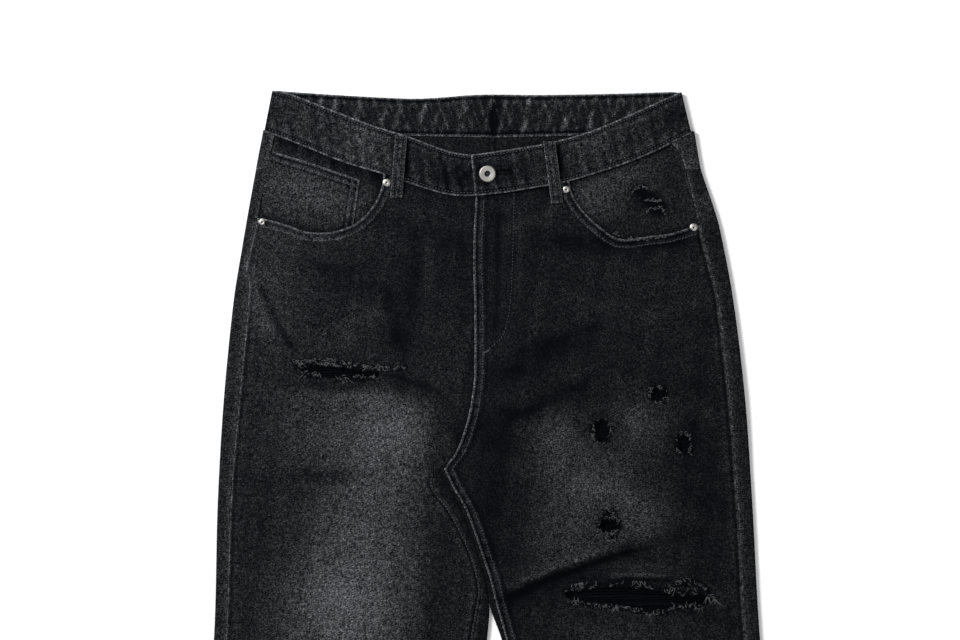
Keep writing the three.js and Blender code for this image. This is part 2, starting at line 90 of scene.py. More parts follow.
class JeansSizes(bpy.types.PropertyGroup):
    """Sizes a user would change"""
    cloth: FloatProperty(name="Cloth", description="Thickness of one layer of denim", default=DENIM * MM,
                         unit="LENGTH")
    band: FloatProperty(name="Waistband", description="Thickness of the folded waistband", default=BAND * MM,
                        unit="LENGTH")
    stitch: FloatProperty(name="Stitch", description="Length of one stitch with its gap", default=3.2 * MM,
                          unit="LENGTH")
    thread: FloatProperty(name="Thread", description="Thickness of the sewing thread", default=0.75 * MM,
                          unit="LENGTH")
    yarn: FloatProperty(name="Yarn", description="Thickness of a frayed yarn end", default=0.75 * MM,
                        unit="LENGTH")
    seed: IntProperty(name="Seed", description="Seed of the frayed yarns", default=7)


def linear(code):
    """An sRGB hex colour as linear RGB"""
    channels = [int(code[i:i + 2], 16) / 255 for i in (1, 3, 5)]
    return [c / 12.92 if c <= 0.04045 else ((c + 0.055) / 1.055) ** 2.4 for c in channels]


def colour_choice(name, description, code):
    return FloatVectorProperty(name=name, description=description, subtype="COLOR", size=3, min=0, max=1,
                               default=linear(code))


class JeansColours(bpy.types.PropertyGroup):
    """Colours a user would change"""
    black: colour_choice("Black denim", "Unfaded warp", "#050609")
    pale: colour_choice("Bare weft", "Yarn where the dye is gone", "#8a8c90")
    thread: colour_choice("Thread", "Sewing thread", "#46484d")
    nickel: colour_choice("Nickel", "Button and rivets", "#a3a19c")
    floor: colour_choice("Floor", "Plain pale floor", "#f4f4f4")


def sizes():
    return bpy.context.scene.jeans_sizes


def colours():
    return bpy.context.scene.jeans_colours


# ---- curves and heights ---------------------------------------------------------------------------------

def soft(start, end, value):
    t = np.clip((np.asarray(value, float) - start) / (end - start), 0, 1)
    return t * t * (3 - 2 * t)


def mix(a, b, t):
    return a + (b - a) * t


def bell(value, width):
    return np.exp(-(value / width) ** 2)


def pairs(x, down):
    return list(zip(x.tolist(), down.tolist()))


def track(knots):
    """A smooth line through [down, x] knots, as a function of down"""
    at = np.array([k[0] for k in knots], float)
    value = np.array([k[1] for k in knots], float)
    last = len(knots) - 1
    ahead = np.minimum(np.arange(len(knots)) + 1, last)
    behind = np.maximum(np.arange(len(knots)) - 1, 0)
    slopes = (value[ahead] - value[behind]) / (at[ahead] - at[behind])

    def line(down):
        down = np.asarray(down, float)
        i = np.clip(np.searchsorted(at, down, side="left") - 1, 0, last - 1)
        span = at[i + 1] - at[i]
        t = np.clip((down - at[i]) / span, 0, 1)
        leave = t * (1 - t) ** 2 * slopes[i] * span
        arrive = t * t * (t - 1) * slopes[i + 1] * span
        return mix(value[i], value[i + 1], t * t * (3 - 2 * t)) + leave + arrive
    return line


def nearest(line, x, down):
    """Distance to a line of (x, down) points, how far below it (+) and how far along it (0 to 1)"""
    x, down = np.asarray(x, float), np.asarray(down, float)
    distance = np.full(np.broadcast(x, down).shape, 1e9)
    below, along = np.zeros_like(distance), np.zeros_like(distance)
    for i in range(len(line) - 1):
        (ax, ad), (bx, bd) = line[i], line[i + 1]
        length2 = (bx - ax) ** 2 + (bd - ad) ** 2
        t = np.clip(((x - ax) * (bx - ax) + (down - ad) * (bd - ad)) / length2, 0, 1)
        this = np.hypot(x - mix(ax, bx, t), down - mix(ad, bd, t))
        closer = this < distance
        distance = np.where(closer, this, distance)
        below = np.where(closer, down - mix(ad, bd, t), below)
        along = np.where(closer, (i + t) / (len(line) - 1), along)
    return distance, below, along


def fold(line, height, above, below, ends=0.2):
    """A soft fold along a line, with its own reach above and below it, fading out at both ends"""
    def rise(x, down):
        distance, under, along = nearest(line, x, down)
        reach = np.where(under > 0, below, above)
        fade = soft(0, ends, along) * (1 - soft(1 - ends, 1, along))
        return height * fade * (1 - soft(0, 1, distance / reach))
    return rise


outline = {
    "left": track([(-2, -207.5), (40, -215.7), (77, -223.7), (158, -238), (208, -246), (308, -256),
                   (408, -262), (548, -266), (628, -275), (758, -288), (908, -302), (HEM, -320)]),
    "right": track([(-2, 201.4), (41, 211.4), (77, 220.5), (114, 233), (137, 239.6), (208, 253), (308, 265),
                    (408, 272), (548, 280), (628, 290), (758, 304), (908, 320), (HEM, 340)]),
}
side_seam = {
    "left": track([(47, -205.3), (77, -212.5), (124, -221.5), (158, -229.3), (178, -234), (191, -230.5),
                   (240, -234), (301, -240), (408, -249), (548, -254), (628, -262), (758, -275), (908, -289),
                   (HEM, -307)]),
    "right": track([(52.6, 190), (60, 197.5), (79, 205.6), (129, 217.4), (168, 227.4), (204, 236.6),
                    (226, 239.6), (308, 249), (408, 257), (548, 265), (628, 275), (758, 289), (908, 305),
                    (HEM, 325)]),
}
inner_fold = {
    "left": track([(377, -40.5), (393, -32.6), (415, -20.2), (439, -10.5), (467, -1), (488, 5.6), (514, 9.4),
                   (548, 7), (628, -2), (758, -23), (908, -48), (HEM, -78)]),
    "right": track([(377, -40.1), (393, -32.1), (415, -19.5), (439, -10), (467, -0.4), (488, 6.2), (514, 10),
                    (548, 22), (628, 41), (758, 62), (908, 80), (HEM, 100)]),
}
inseam = {
    "left": track([(377, -46), (393, -47), (405, -40), (416, -31), (439, -18), (467, -6), (498, 1),
                   (513, -1), (548, -7), (628, -16), (758, -37), (908, -62), (HEM, -92)]),
    "right": track([(377, -36), (393, -28.5), (415, -16), (439, -6.5), (467, 3), (488, 10), (507, 14.5),
                    (548, 26), (628, 46), (758, 67), (908, 86), (HEM, 107)]),
}
fly_edge = track([(105, -4.3), (157, -6.6), (226, -5.5), (282, -5.7), (300, -7.4), (323, -11.4),
                  (346, -18.3), (362, -25.2), (371, -32), (377, -36)])
seat_seam = track([(45, CENTRE_BACK), (120, 8), (200, 2), (280, -8), (330, -20), (360, -32), (377, -40.3)])
band_top_front = track([(-206, -1), (-189, 2.4), (-138, 22.3), (-106, 34), (-68, 46), (-37, 57.7),
                        (-20, 61.8), (-9, 63), (5, 61.4), (30, 57.7), (66, 51.7), (106, 41), (139, 27.8),
                        (172, 12.9), (200, 0.5)])
band_foot_front = track([(-215.7, 40), (-202, 44.6), (-173, 55.8), (-138, 70), (-93, 83.7), (-51, 98),
                         (-27, 103.6), (-7, 104), (25, 101), (50, 96.9), (84, 90.8), (139, 74), (172, 61),
                         (189, 52.7), (211.4, 41)])
band_top_back = track([(-207, -1), (-140, 3.5), (-70, 7), (-45, 6.2), (0, 3), (60, 3.3), (140, 2), (201, 0)])


def band_foot_back(x):
    reach = np.where(x < CENTRE_BACK, CENTRE_BACK + 215.7, 211.4 - CENTRE_BACK)
    return mix(45.6, 41, np.abs(x - CENTRE_BACK) / reach)


pocket_mouth = {
    "left": [(-96, 82), (-98.5, 97), (-106.5, 114), (-119, 128), (-132, 135.5), (-150, 140.5), (-173, 140),
             (-190, 134), (-210, 128.3), (-232, 125)],
    "right": [(88.5, 88), (93, 104), (103, 119), (116, 132), (139, 147), (172, 144), (189, 142),
              (211, 135.6), (235, 130)],
}

BIG_FOLD = [(10, 508), (30, 498), (54, 487), (86, 474), (126, 462), (150, 453), (189, 440), (240, 424)]
crotch_fold = fold([(-98, 283), (-71, 291.6), (-50, 297), (-29, 309), (-24, 321), (-24, 363)], 1.6, 18, 12)
folds = {
    "left": [
        crotch_fold,
        fold([(-231, 186), (-223, 198), (-209, 220), (-190, 252), (-184, 262)], 1.4, 14, 16),
        fold([(-262, 700), (-190, 722), (-120, 716), (-60, 690)], 2.4, 34, 20),
        fold([(-240, 840), (-180, 828), (-110, 846), (-60, 838)], 1.8, 28, 22),
    ],
    "right": [
        crotch_fold,
        fold(BIG_FOLD, 4, 44, 16),
        fold([(105, 484), (129, 482.5), (192, 482.5), (214, 487)], 2, 12, 10),
        fold([(8, 345), (50, 300), (90, 275), (130, 250)], 1.6, 30, 26),
        fold([(300, 690), (230, 716), (150, 708), (60, 678)], 2.4, 34, 20),
        fold([(290, 850), (220, 836), (150, 852), (80, 842)], 1.8, 28, 22),
    ],
}


def coin_lift(x, down):
    distance = nearest(pocket_mouth["left"], x, down)[0]
    return LAYER * (1 - soft(12, 44, distance)) * soft(-78, -108, x)


def fly_lift(x, down):
    past = x - fly_edge(np.minimum(down, CROTCH))
    return LAYER * (1 - soft(40, 78, past)) * (1 - soft(CROTCH, CROTCH + 60, down))


def leg_lift(x, down):
    inside = x - inner_fold["right"](np.maximum(down, CROTCH))
    start = soft(CROTCH - 6, CROTCH + 40, down) * (1 - soft(505, 560, down))
    return 1.8 * start * (1 - soft(4, 46, inside))


def back_height(down):
    return mix(BACK_SEAT, BACK_LEG, soft(SEAT_FROM, SEAT_TO, down))


def front_height(side, x, down):
    base = mix(FRONT_SEAT, FRONT_LEG, soft(SEAT_FROM, SEAT_TO, down))
    raised = sum(each(x, down) for each in folds[side])
    lift = fly_lift(x, down) + leg_lift(x, down) if side == "right" else coin_lift(x, down)
    return base + raised + lift


def band_height(side, x):
    return FRONT_BAND + (BAND + GAP) * (1 - soft(44, 92, x)) * (side == "right")


# ---- how faded the cloth is, with painted shade and highlights: grey levels 0 to 255 by place -----------

BLACK_LEVEL, PALE_LEVEL = 11, 156
FADE_GAMMA = 2.2


def level_to_fade(level):
    """The mix of black and pale yarn that gives a grey level"""
    def light(value):
        return ((np.maximum(value, 0) / 255 + 0.055) / 1.055) ** 2.4
    share = (light(level) - light(BLACK_LEVEL)) / (light(PALE_LEVEL) - light(BLACK_LEVEL))
    return np.clip(share, 0.0001, 1) ** (1 / FADE_GAMMA)


def patch(x, down, at, reach, amount, turn=0):
    """A soft-edged patch: place, half sizes, how many grey levels it adds at its middle, and its turn"""
    c, s = math.cos(math.radians(turn)), math.sin(math.radians(turn))
    along = ((x - at[0]) * c + (down - at[1]) * s) / reach[0]
    across = ((down - at[1]) * c - (x - at[0]) * s) / reach[1]
    return amount * np.exp(-(along ** 2 + across ** 2))


def patches(listed, x, down):
    return sum(patch(x, down, *each) for each in listed)


LEFT_PATCHES = [
    ((-208, 185), (34, 90), 13), ((-72, 225), (14, 75), -6, 6), ((-140, 195), (50, 14), -4, 4),
    ((-150, 145), (60, 12), 5), ((-130, 240), (40, 16), 7, -30), ((-40, 300), (14, 60), 3),
    ((-42, 155), (40, 50), -5), ((-128, 304), (50, 10), 6, 4),
]
LEFT_THIGH = [
    ((-84, 330), (38, 34), 30), ((-150, 338), (62, 34), 18), ((-90, 372), (60, 34), 20),
    ((-110, 430), (56, 48), 27, 25), ((-125, 500), (62, 46), 26), ((-138, 560), (66, 70), 29),
    ((-160, 470), (30, 60), 8), ((-150, 384), (30, 9), -12, 4), ((-140, 700), (66, 110), 22),
    ((-165, 900), (60, 120), 14), ((-128, 300), (52, 11), 15, 4),
]
RIGHT_PATCHES = [
    ((-2, 262), (7, 50), 4), ((96, 152), (44, 11), -9, 6), ((190, 150), (40, 9), -7, -4),
    ((58, 268), (56, 13), -9, -24), ((48, 318), (62, 9), -7, -12), ((14, 420), (24, 80), -6),
    ((20, 350), (30, 24), -5), ((224, 380), (24, 120), -5), ((150, 200), (60, 30), 3, -20),
    ((78, 345), (30, 27), 22), ((100, 388), (44, 26), 16, 20), ((130, 380), (26, 34), 10, -50),
    ((158, 325), (30, 20), 20, 10), ((160, 352), (26, 22), 8), ((80, 436), (26, 30), 14),
    ((120, 410), (50, 30), 12), ((162, 428), (26, 24), 16), ((70, 470), (34, 12), 9, -16),
    ((120, 448), (30, 20), 8, -14), ((155, 474), (46, 7), 6), ((130, 545), (70, 24), 6),
    ((150, 640), (60, 70), 16), ((170, 800), (60, 120), 14), ((185, 960), (56, 90), 8),
    ((121, 336), (15, 15), -9), ((203, 350), (14, 16), -8), ((178, 300), (15, 12), -6),
    ((130, 430), (15, 17), -9),
]


def seam_edge(distance, crest):
    """What a topstitched seam does to the cloth beside its edge: grey levels added, and wear. The edge is
    rubbed pale, the groove where the stitches sink is painted dark as shade, and the ridge past them is
    rubbed in places"""
    groove_shade = bell(distance - 3.4, 1.6)
    ridge = bell(distance - 7, 2.6)
    return -13 * groove_shade + 14 * crest * ridge, bell(distance, 1.5) * (0.55 + 0.6 * crest)


# painted shade in creases (-) and painted highlights on crests (+): line, grey levels, reach above and below
# in mm
CREASE_SHADE_AND_HIGHLIGHT = {
    "left": [
        ([(-74, 281), (-56, 290), (-38, 301), (-26, 316), (-24, 340), (-25, 372)], -7, 4, 9),
        ([(-104, 281), (-84, 284), (-66, 290), (-46, 300)], -8, 2.5, 5),
        ([(-222, 186), (-206, 222), (-194, 246), (-180, 264)], -14, 4, 6),
        ([(-238, 150), (-232, 190), (-218, 226), (-206, 252)], 12, 12, 14),
        ([(-172, 291), (-146, 297), (-118, 296)], -10, 5, 9),
        ([(-196, 380), (-150, 386), (-116, 380)], -5, 12, 12),
        ([(-112, 377), (-80, 373), (-44, 376)], -14, 2.5, 3.5),
        ([(-96, 190), (-85, 226), (-84, 262)], -8, 12, 12),
        ([(-176, 168), (-140, 178), (-104, 172)], -6, 8, 10),
        ([(-150, 236), (-120, 226), (-100, 214)], 5, 8, 8),
        ([(-66, 110), (-52, 150), (-50, 210)], 6, 12, 12),
        ([(-20, 130), (-16, 200), (-18, 260)], -5, 7, 7),
        ([(-150, 142), (-120, 138), (-98, 122)], -8, 2, 7),
    ],
    "right": [
        ([(14, 340), (40, 322), (70, 306), (104, 291), (138, 272)], -6, 9, 12),
        ([(20, 266), (56, 254), (96, 240), (130, 226)], -5, 9, 12),
        ([(12, 514), (40, 499), (66, 486), (100, 474), (140, 460), (176, 449)], -9, 2.5, 9),
        ([(20, 503), (44, 491), (70, 478), (104, 466), (144, 453)], 14, 10, 2.5),
        ([(18, 104), (18, 150), (17, 210), (12, 262)], -9, 6, 6),
        ([(31, 104), (33, 160), (31, 210), (24, 244)], -7, 2.2, 2.2),
        ([(38, 108), (40, 160), (38, 214)], 4, 4, 4),
        ([(104, 136), (130, 152), (170, 153), (214, 145)], -8, 3, 8),
        ([(126, 484), (150, 482), (194, 483)], 22, 3, 2.5),
        ([(122, 489), (160, 487), (198, 488)], -12, 2.5, 5),
        ([(20, 140), (60, 128), (84, 108)], 5, 12, 12),
        ([(150, 230), (200, 214), (236, 210)], 5, 14, 12),
        ([(210, 300), (240, 340), (250, 400)], 5, 12, 12),
    ],
}


def front_level(side, x, down):
    base = 25.0 + 0 * x
    if side == "left":
        base = base + patches(LEFT_PATCHES, x, down)
        thigh = patches(LEFT_THIGH, x, down)
        under = soft(2, 20, down - np.interp(x, [-260, -185, -98, -50, -40], [292, 286, 287, 299, 310]))
        base = base + thigh * under * soft(-38, -62, x + 0.06 * (down - 380))
    else:
        base = base - 2 + patches(RIGHT_PATCHES, x, down)
        # painted shade along the big fold: wide below its crest, thin above it
        distance, below, along = nearest(BIG_FOLD, x, down)
        shade = np.where(below > 0, bell(distance, 20), bell(distance, 3))
        base = base - 10 * shade * soft(0, 0.1, along) * (1 - soft(0.55, 0.9, along))
    # painted shade in creases and painted highlights on crests, along the listed lines
    for line, amount, above, below in CREASE_SHADE_AND_HIGHLIGHT[side]:
        base = base + fold(line, amount, above, below)(x, down)
    base = base + 2.6 * ripple(x + 0.15 * down, 23, 2) + 2.2 * ripple(down - 0.3 * x, 37, 3)
    # painted shade under the waistband's foot, and painted shadow beside each belt loop
    from_band = np.maximum(0, down - band_foot_front(x))
    loop_x = -83 if side == "left" else 77
    loop_shadow = bell(np.abs(x - loop_x) - 7, 3) * (1 - soft(8, 16, from_band))
    return np.maximum(base - 9 * bell(from_band, 4) - 10 * loop_shadow, 9)


FACING_PATCHES = {
    "left": [((-190, 92), (32, 26), 24), ((-150, 110), (36, 20), 20, 10), ((-118, 100), (10, 30), 4)],
    "right": [((112, 105), (24, 22), 16), ((150, 84), (26, 18), 14, -20), ((166, 104), (20, 16), -14),
              ((196, 90), (16, 24), -4), ((140, 132), (30, 8), -6)],
}
BAND_PATCHES = [
    ((-118, 52), (26, 26), 20), ((-186, 26), (26, 22), 10), ((-150, 34), (26, 16), 4),
    ((-84, 66), (12, 18), 6), ((-4, 84), (40, 16), -8), ((-32, 90), (14, 12), -6),
    ((112, 58), (28, 14), 12, -25), ((66, 76), (10, 16), 6), ((150, 34), (40, 9), 6, -24),
    ((160, 52), (40, 6), 5, -22), ((190, 24), (20, 12), -6),
]


def ripple(position, size, seed):
    """An uneven wave along a seam, -1 to 1, about one crest for each size"""
    a = np.sin(position * 2 * math.pi / size + seed)
    b = np.sin(position * 2 * math.pi / (size * 1.63) + 2.1 * seed + 1)
    c = np.sin(position * 2 * math.pi / (size * 0.57) + 3.7 * seed + 2)
    return (a + 0.8 * b + 0.5 * c) / 2.3


def crests(position, size, seed):
    return 0.5 + 0.5 * ripple(position, size, seed)


def rumple(x, down):
    """The cloth's gentle unevenness, in mm"""
    waves = [(61, 0.4, 0.22), (43, 1.9, 0.16), (33, -0.7, 0.12), (24, 1.1, 0.08), (17, -1.4, 0.05)]
    total = 0
    for size, turn, height in waves:
        run = x * math.cos(turn) + down * math.sin(turn)
        total = total + height * ripple(run, size, size * 0.37)
    return total


# ---- materials ------------------------------------------------------------------------------------------

def add_node(tree, kind, settings=None, links=None):
    """One node: settings are properties or input values, links are {input: output socket}"""
    node = tree.nodes.new(kind)
    for key, value in (settings or {}).items():
        if isinstance(key, str) and hasattr(node, key):
            setattr(node, key, value)
        else:
            node.inputs[key].default_value = value
    for key, socket in (links or {}).items():
        tree.links.new(socket, node.inputs[key])
    return node


def new_material(name):
    material = bpy.data.materials.new(name)
    material.use_nodes = True
    material.node_tree.nodes.clear()
    return material, material.node_tree


def close_material(tree, shader):
    add_node(tree, "ShaderNodeOutputMaterial", links={"Surface": shader.outputs["BSDF"]})


def blend(tree, share, first, second):
    """A colour between two, by a share from 0 to 1"""
    node = add_node(tree, "ShaderNodeMix", {"data_type": "RGBA"})
    node.inputs[6].default_value = (*first, 1)
    node.inputs[7].default_value = (*second, 1)
    tree.links.new(share, node.inputs[0])
    return node.outputs[2]


def math_node(tree, operation, a, b, clamp=False):
    settings = {"operation": operation, "use_clamp": clamp}
    links = {}
    for i, value in enumerate((a, b)):
        if isinstance(value, (int, float)):
            settings[i] = value
        else:
            links[i] = value
    return add_node(tree, "ShaderNodeMath", settings, links).outputs[0]


# A yarn is 0.4 mm and a wale 0.9 mm on the real cloth; both are drawn coarser here, so that they show
GRAIN_MM = 0.9
SLUB_MM = 1.0
TWILL_MM = 2.4
BLOTCH_MM = 3.0
MOTTLE_MM = 9.0
WORN_FADE = 0.66


def washed_twill(name, strength=1.0):
    """Washed-black cotton twill: black warp over pale weft, so wear shows as fine grey speckle and short
    slubs, matt and hairy. Strength is how much of the cloth's fade shows"""
    material, tree = new_material(name)
    place = add_node(tree, "ShaderNodeTexCoord").outputs["Object"]

    def plus(a, b):
        return math_node(tree, "ADD", a, b)

    def times(a, b, clamp=False):
        return math_node(tree, "MULTIPLY", a, b, clamp)

    def noise(size, detail, vector=place):
        """A cloud texture of that size in mm, centred on nought"""
        cloud = add_node(tree, "ShaderNodeTexNoise",
                         {"Scale": 1 / (size * MM), "Detail": detail, "Roughness": 0.6}, {"Vector": vector})
        return math_node(tree, "SUBTRACT", cloud.outputs[0], 0.5)

    def stored(layer):
        return add_node(tree, "ShaderNodeAttribute", {"attribute_name": layer}).outputs["Fac"]

    def mapped(key, value):
        return add_node(tree, "ShaderNodeMapping", {key: value}, {"Vector": place}).outputs[0]

    fade, wear = stored("fade"), stored("wear")
    wale = add_node(tree, "ShaderNodeTexWave", {"Scale": math.pi / 10 / (TWILL_MM * MM), "Distortion": 2.5,
                                                "Detail": 1.0, "Detail Scale": 3.0},
                    {"Vector": mapped("Rotation", (0, 0, math.radians(62)))}).outputs["Fac"]
    fine = noise(GRAIN_MM, 1.0)
    slubs = plus(noise(SLUB_MM, 0.0, mapped("Scale", (1, 0.3, 1))),
                 noise(SLUB_MM, 0.0, mapped("Scale", (0.35, 1, 1))))
    grains = plus(times(fine, 3.2), times(slubs, 1.7))
    lines = times(math_node(tree, "SUBTRACT", wale, 0.5), 0.3)
    uneven = plus(plus(grains, times(noise(MOTTLE_MM, 3.0), 0.5)), lines)
    # the speckle is calmer where the dye is mostly gone
    uneven = times(uneven, plus(times(fade, -0.9), 1.15))
    level = times(times(fade, strength), plus(uneven, 1.0))
    rubbed = times(wear, plus(times(noise(BLOTCH_MM, 1.0), 1.3), 0.85), clamp=True)
    bare = times(plus(times(grains, 0.6), 1.0), WORN_FADE)
    level = plus(level, times(math_node(tree, "SUBTRACT", bare, level), rubbed))
    share = math_node(tree, "POWER", math_node(tree, "MAXIMUM", level, 0.0), FADE_GAMMA, clamp=True)
    shade = blend(tree, share, colours().black, colours().pale)
    nap = plus(fine, times(wale, 0.4))
    relief = add_node(tree, "ShaderNodeBump", {"Strength": 0.6, "Distance": 0.5 * MM}, {"Height": nap})
    shader = add_node(tree, "ShaderNodeBsdfPrincipled", {"Roughness": 0.95, "Specular IOR Level": 0.02},
                      {"Base Color": shade, "Normal": relief.outputs[0]})
    close_material(tree, shader)
    return material


def spun_yarn(name, tint, roughness=0.85, shine=0.25):
    """Cotton yarn or sewing thread: matt, with its colour a little uneven along it, in 3 mm lengths"""
    material, tree = new_material(name)
    place = add_node(tree, "ShaderNodeTexCoord").outputs["Object"]
    uneven = add_node(tree, "ShaderNodeTexNoise", {"Scale": 1 / (3 * MM), "Detail": 2.0}, {"Vector": place})
    shade = blend(tree, uneven.outputs[0], [c * 0.35 for c in tint], [min(1, c * 1.5) for c in tint])
    shader = add_node(tree, "ShaderNodeBsdfPrincipled",
                      {"Roughness": roughness, "Specular IOR Level": shine}, {"Base Color": shade})
    close_material(tree, shader)
    return material


def satin_nickel():
    """Nickel plate on stamped brass: soft satin metal, with faint tumbling scratches"""
    material, tree = new_material("satin_nickel")
    place = add_node(tree, "ShaderNodeTexCoord").outputs["Object"]
    scratch = add_node(tree, "ShaderNodeTexNoise", {"Scale": 1 / (0.8 * MM), "Detail": 3.0},
                       {"Vector": place})
    rough = math_node(tree, "ADD", math_node(tree, "MULTIPLY", scratch.outputs[0], 0.2), 0.36)
    relief = add_node(tree, "ShaderNodeBump", {"Strength": 0.15, "Distance": 0.05 * MM},
                      {"Height": scratch.outputs[0]})
    shader = add_node(tree, "ShaderNodeBsdfPrincipled",
                      {"Base Color": (*colours().nickel, 1), "Metallic": 1.0},
                      {"Roughness": rough, "Normal": relief.outputs[0]})
    close_material(tree, shader)
    return material


def floor_paper():
    """Matt white studio paper with a hint of tooth"""
    material, tree = new_material("floor_paper")
    place = add_node(tree, "ShaderNodeTexCoord").outputs["Object"]
    tooth = add_node(tree, "ShaderNodeTexNoise", {"Scale": 1 / (4 * MM), "Detail": 2.0}, {"Vector": place})
    relief = add_node(tree, "ShaderNodeBump", {"Strength": 0.02, "Distance": 0.1 * MM},
                      {"Height": tooth.outputs[0]})
    shader = add_node(tree, "ShaderNodeBsdfPrincipled",
                      {"Base Color": (*colours().floor, 1), "Roughness": 1.0, "Specular IOR Level": 0.0},
                      {"Normal": relief.outputs[0]})
    close_material(tree, shader)
    return material


def material_named(name):
    """Makes a material the first time that it is asked for"""
    if name in bpy.data.materials:
        return bpy.data.materials[name]
    black, pale, thread = colours().black, colours().pale, colours().thread
    makers = {
        # the outside of the denim: charcoal cloud of pale flecks on black, pale along every rubbed edge
        "washed_twill": lambda: washed_twill("washed_twill"),
        # denim that the front waistband shades: the same, dimmer
        "shaded_twill": lambda: washed_twill("shaded_twill", 0.7),
        # denim deep inside the garment: its own overdyed dark, dimmed to near black as painted shade, so
        # holes and rips read as dark openings
        "inside_twill_painted_shade": lambda: washed_twill("inside_twill_painted_shade", 0.2),
        # dark grey topstitching: a dotted line a little paler than the cloth
        "sewing_thread": lambda: spun_yarn("sewing_thread", thread),
        # bare weft ends: bright hairy specks along the torn edges
        "frayed_yarn": lambda: spun_yarn("frayed_yarn", [c * 0.3 for c in pale], shine=0.1),
        # dyed warp ends: black tangle that sets off the pale ones
        "black_yarn": lambda: spun_yarn("black_yarn", [c * 2 for c in black], shine=0.02),
        # the pit of the button and rivets: dark, dull metal as painted shade, so that their centres read as
        # holes
        "pit_shade_metal": lambda: spun_yarn("pit_shade_metal", [c * 8 for c in black], 0.5),
        # plated caps: soft bright glint with a brushed look
        "satin_nickel": satin_nickel,
        # plain ground: an even near-white with a faint shadow round the garment
        "floor_paper": floor_paper,
    }
    return makers[name]()


# ---- building cloth -------------------------------------------------------------------------------------

def to_frame(x, down, z):
    return np.stack([(x + ORIGIN_X) * MM, (ORIGIN_DOWN - down) * MM, z * MM + 0 * x], axis=-1)


def spaced(length, fine, coarse, margin):
    """Steps from 0 to 1 along a length, close together near both ends"""
    edge = np.arange(0, margin, fine)
    middle = np.linspace(margin, length - margin, max(2, round((length - 2 * margin) / coarse)))
    return np.concatenate([edge, middle, length - edge[::-1]]) / length


def inside(loop, x, down):
    """Which points lie in a closed outline"""
    result = np.zeros(np.shape(x), bool)
    for (ax, ad), (bx, bd) in zip(loop, loop[1:] + loop[:1]):
        crosses = (ad > down) != (bd > down)
        reach = ax + (bx - ax) * (down - ad) / np.where(bd == ad, 1e-9, bd - ad)
        result ^= crosses & (x < reach)
    return result


def closest_on(loop, x, down):
    """The closest point of an open line of (x, down) points to one place"""
    best = (1e9, x, down)
    for (ax, ad), (bx, bd) in zip(loop, loop[1:]):
        t = ((x - ax) * (bx - ax) + (down - ad) * (bd - ad)) / ((bx - ax) ** 2 + (bd - ad) ** 2 + 1e-12)
        t = min(1, max(0, t))
        px, pd = ax + (bx - ax) * t, ad + (bd - ad) * t
        best = min(best, (math.hypot(x - px, down - pd), px, pd))
    return best


def smooth_line(points, step=2.0):
    """A rounded line through (x, down) points, with a point about every step mm"""
    run = np.concatenate([[0], np.cumsum([math.dist(a, b) for a, b in zip(points, points[1:])])])
    steps = np.linspace(0, run[-1], max(2, round(run[-1] / step)))
    x = track([(r, p[0]) for r, p in zip(run, points)])(steps)
    down = track([(r, p[1]) for r, p in zip(run, points)])(steps)
    return pairs(x, down)


def offset_line(line, distance):
    """The line moved sideways, to the right of its own direction as seen from above"""
    points = np.array(line, float)
    run = np.gradient(points, axis=0)
    run /= np.maximum(np.linalg.norm(run, axis=1, keepdims=True), 1e-9)
    return list(zip(points[:, 0] - run[:, 1] * distance, points[:, 1] + run[:, 0] * distance))


def to_mesh(bm, name):
    mesh = bpy.data.meshes.new(name)
    bm.to_mesh(mesh)
    bm.free()
    return mesh


def link(name, mesh, materials, replaced):
    """Adds a piece that rides on the part's one body; replaced is the CAD node it stands for, if any"""
    piece = bpy.data.objects.new(name, mesh)
    bpy.context.scene.collection.objects.link(piece)
    for each in materials:
        mesh.materials.append(material_named(each))
    mesh.polygons.foreach_set("use_smooth", [True] * len(mesh.polygons))
    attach(piece, "root")
    if replaced:
        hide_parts(replaced)
    return piece


def snap_edge(bm, line, height, reach):
    """Moves the open edge's points that are near a line on to it"""
    for vert in bm.verts:
        if not vert.is_boundary:
            continue
        x, down = vert.co.x / MM - ORIGIN_X, ORIGIN_DOWN - vert.co.y / MM
        distance, px, pd = closest_on(line, x, down)
        if distance < reach:
            z = float(height(np.array(px), np.array(pd)))
            vert.co = to_frame(np.array(px), np.array(pd), np.array(z)).tolist()


def cloth(name, across, along, place, look, core, slot, replaced, cuts=(), keep=None, height=None,
          thickness=None, inner="inside_twill_painted_shade"):
    """A thin shell. place(u, v) gives x, down and z; look gives grey level and wear; core is a height
    inside the folded piece; cuts are outlines to open and keep is the outline to stay within; thickness
    is one layer of cloth unless it is given"""
    bm = bmesh.new()
    bmesh.ops.create_grid(bm, x_segments=len(across) - 1, y_segments=len(along) - 1, size=0.5)
    flat = np.array([vert.co[:2] for vert in bm.verts]) + 0.5
    u = across[np.rint(flat[:, 0] * (len(across) - 1)).astype(int)]
    v = along[np.rint(flat[:, 1] * (len(along) - 1)).astype(int)]
    x, down, z = place(u, v)
    level, wear = look(u, v, x, down)
    fade_layer = bm.verts.layers.float.new("fade")
    wear_layer = bm.verts.layers.float.new("wear")
    fades = level_to_fade(level)
    for vert, point, fade, rub in zip(bm.verts, to_frame(x, down, z), fades, wear + 0 * x):
        vert.co = point
        vert[fade_layer] = fade
        vert[wear_layer] = rub
    open_cloth(bm, cuts, keep, height)
    bm.normal_update()
    facing = sum(face.normal.z * (face.calc_center_median().z / MM - core) * face.calc_area()
                 for face in bm.faces)
    if facing < 0:
        bmesh.ops.reverse_faces(bm, faces=bm.faces[:])
    piece = link(name, to_mesh(bm, name), ["washed_twill", inner, "washed_twill"], replaced)
    shell = piece.modifiers.new("thickness", "SOLIDIFY")
    shell.thickness = thickness or sizes().cloth
    shell.offset = 0
    shell.material_offset = 1
    shell.material_offset_rim = 2
    return piece


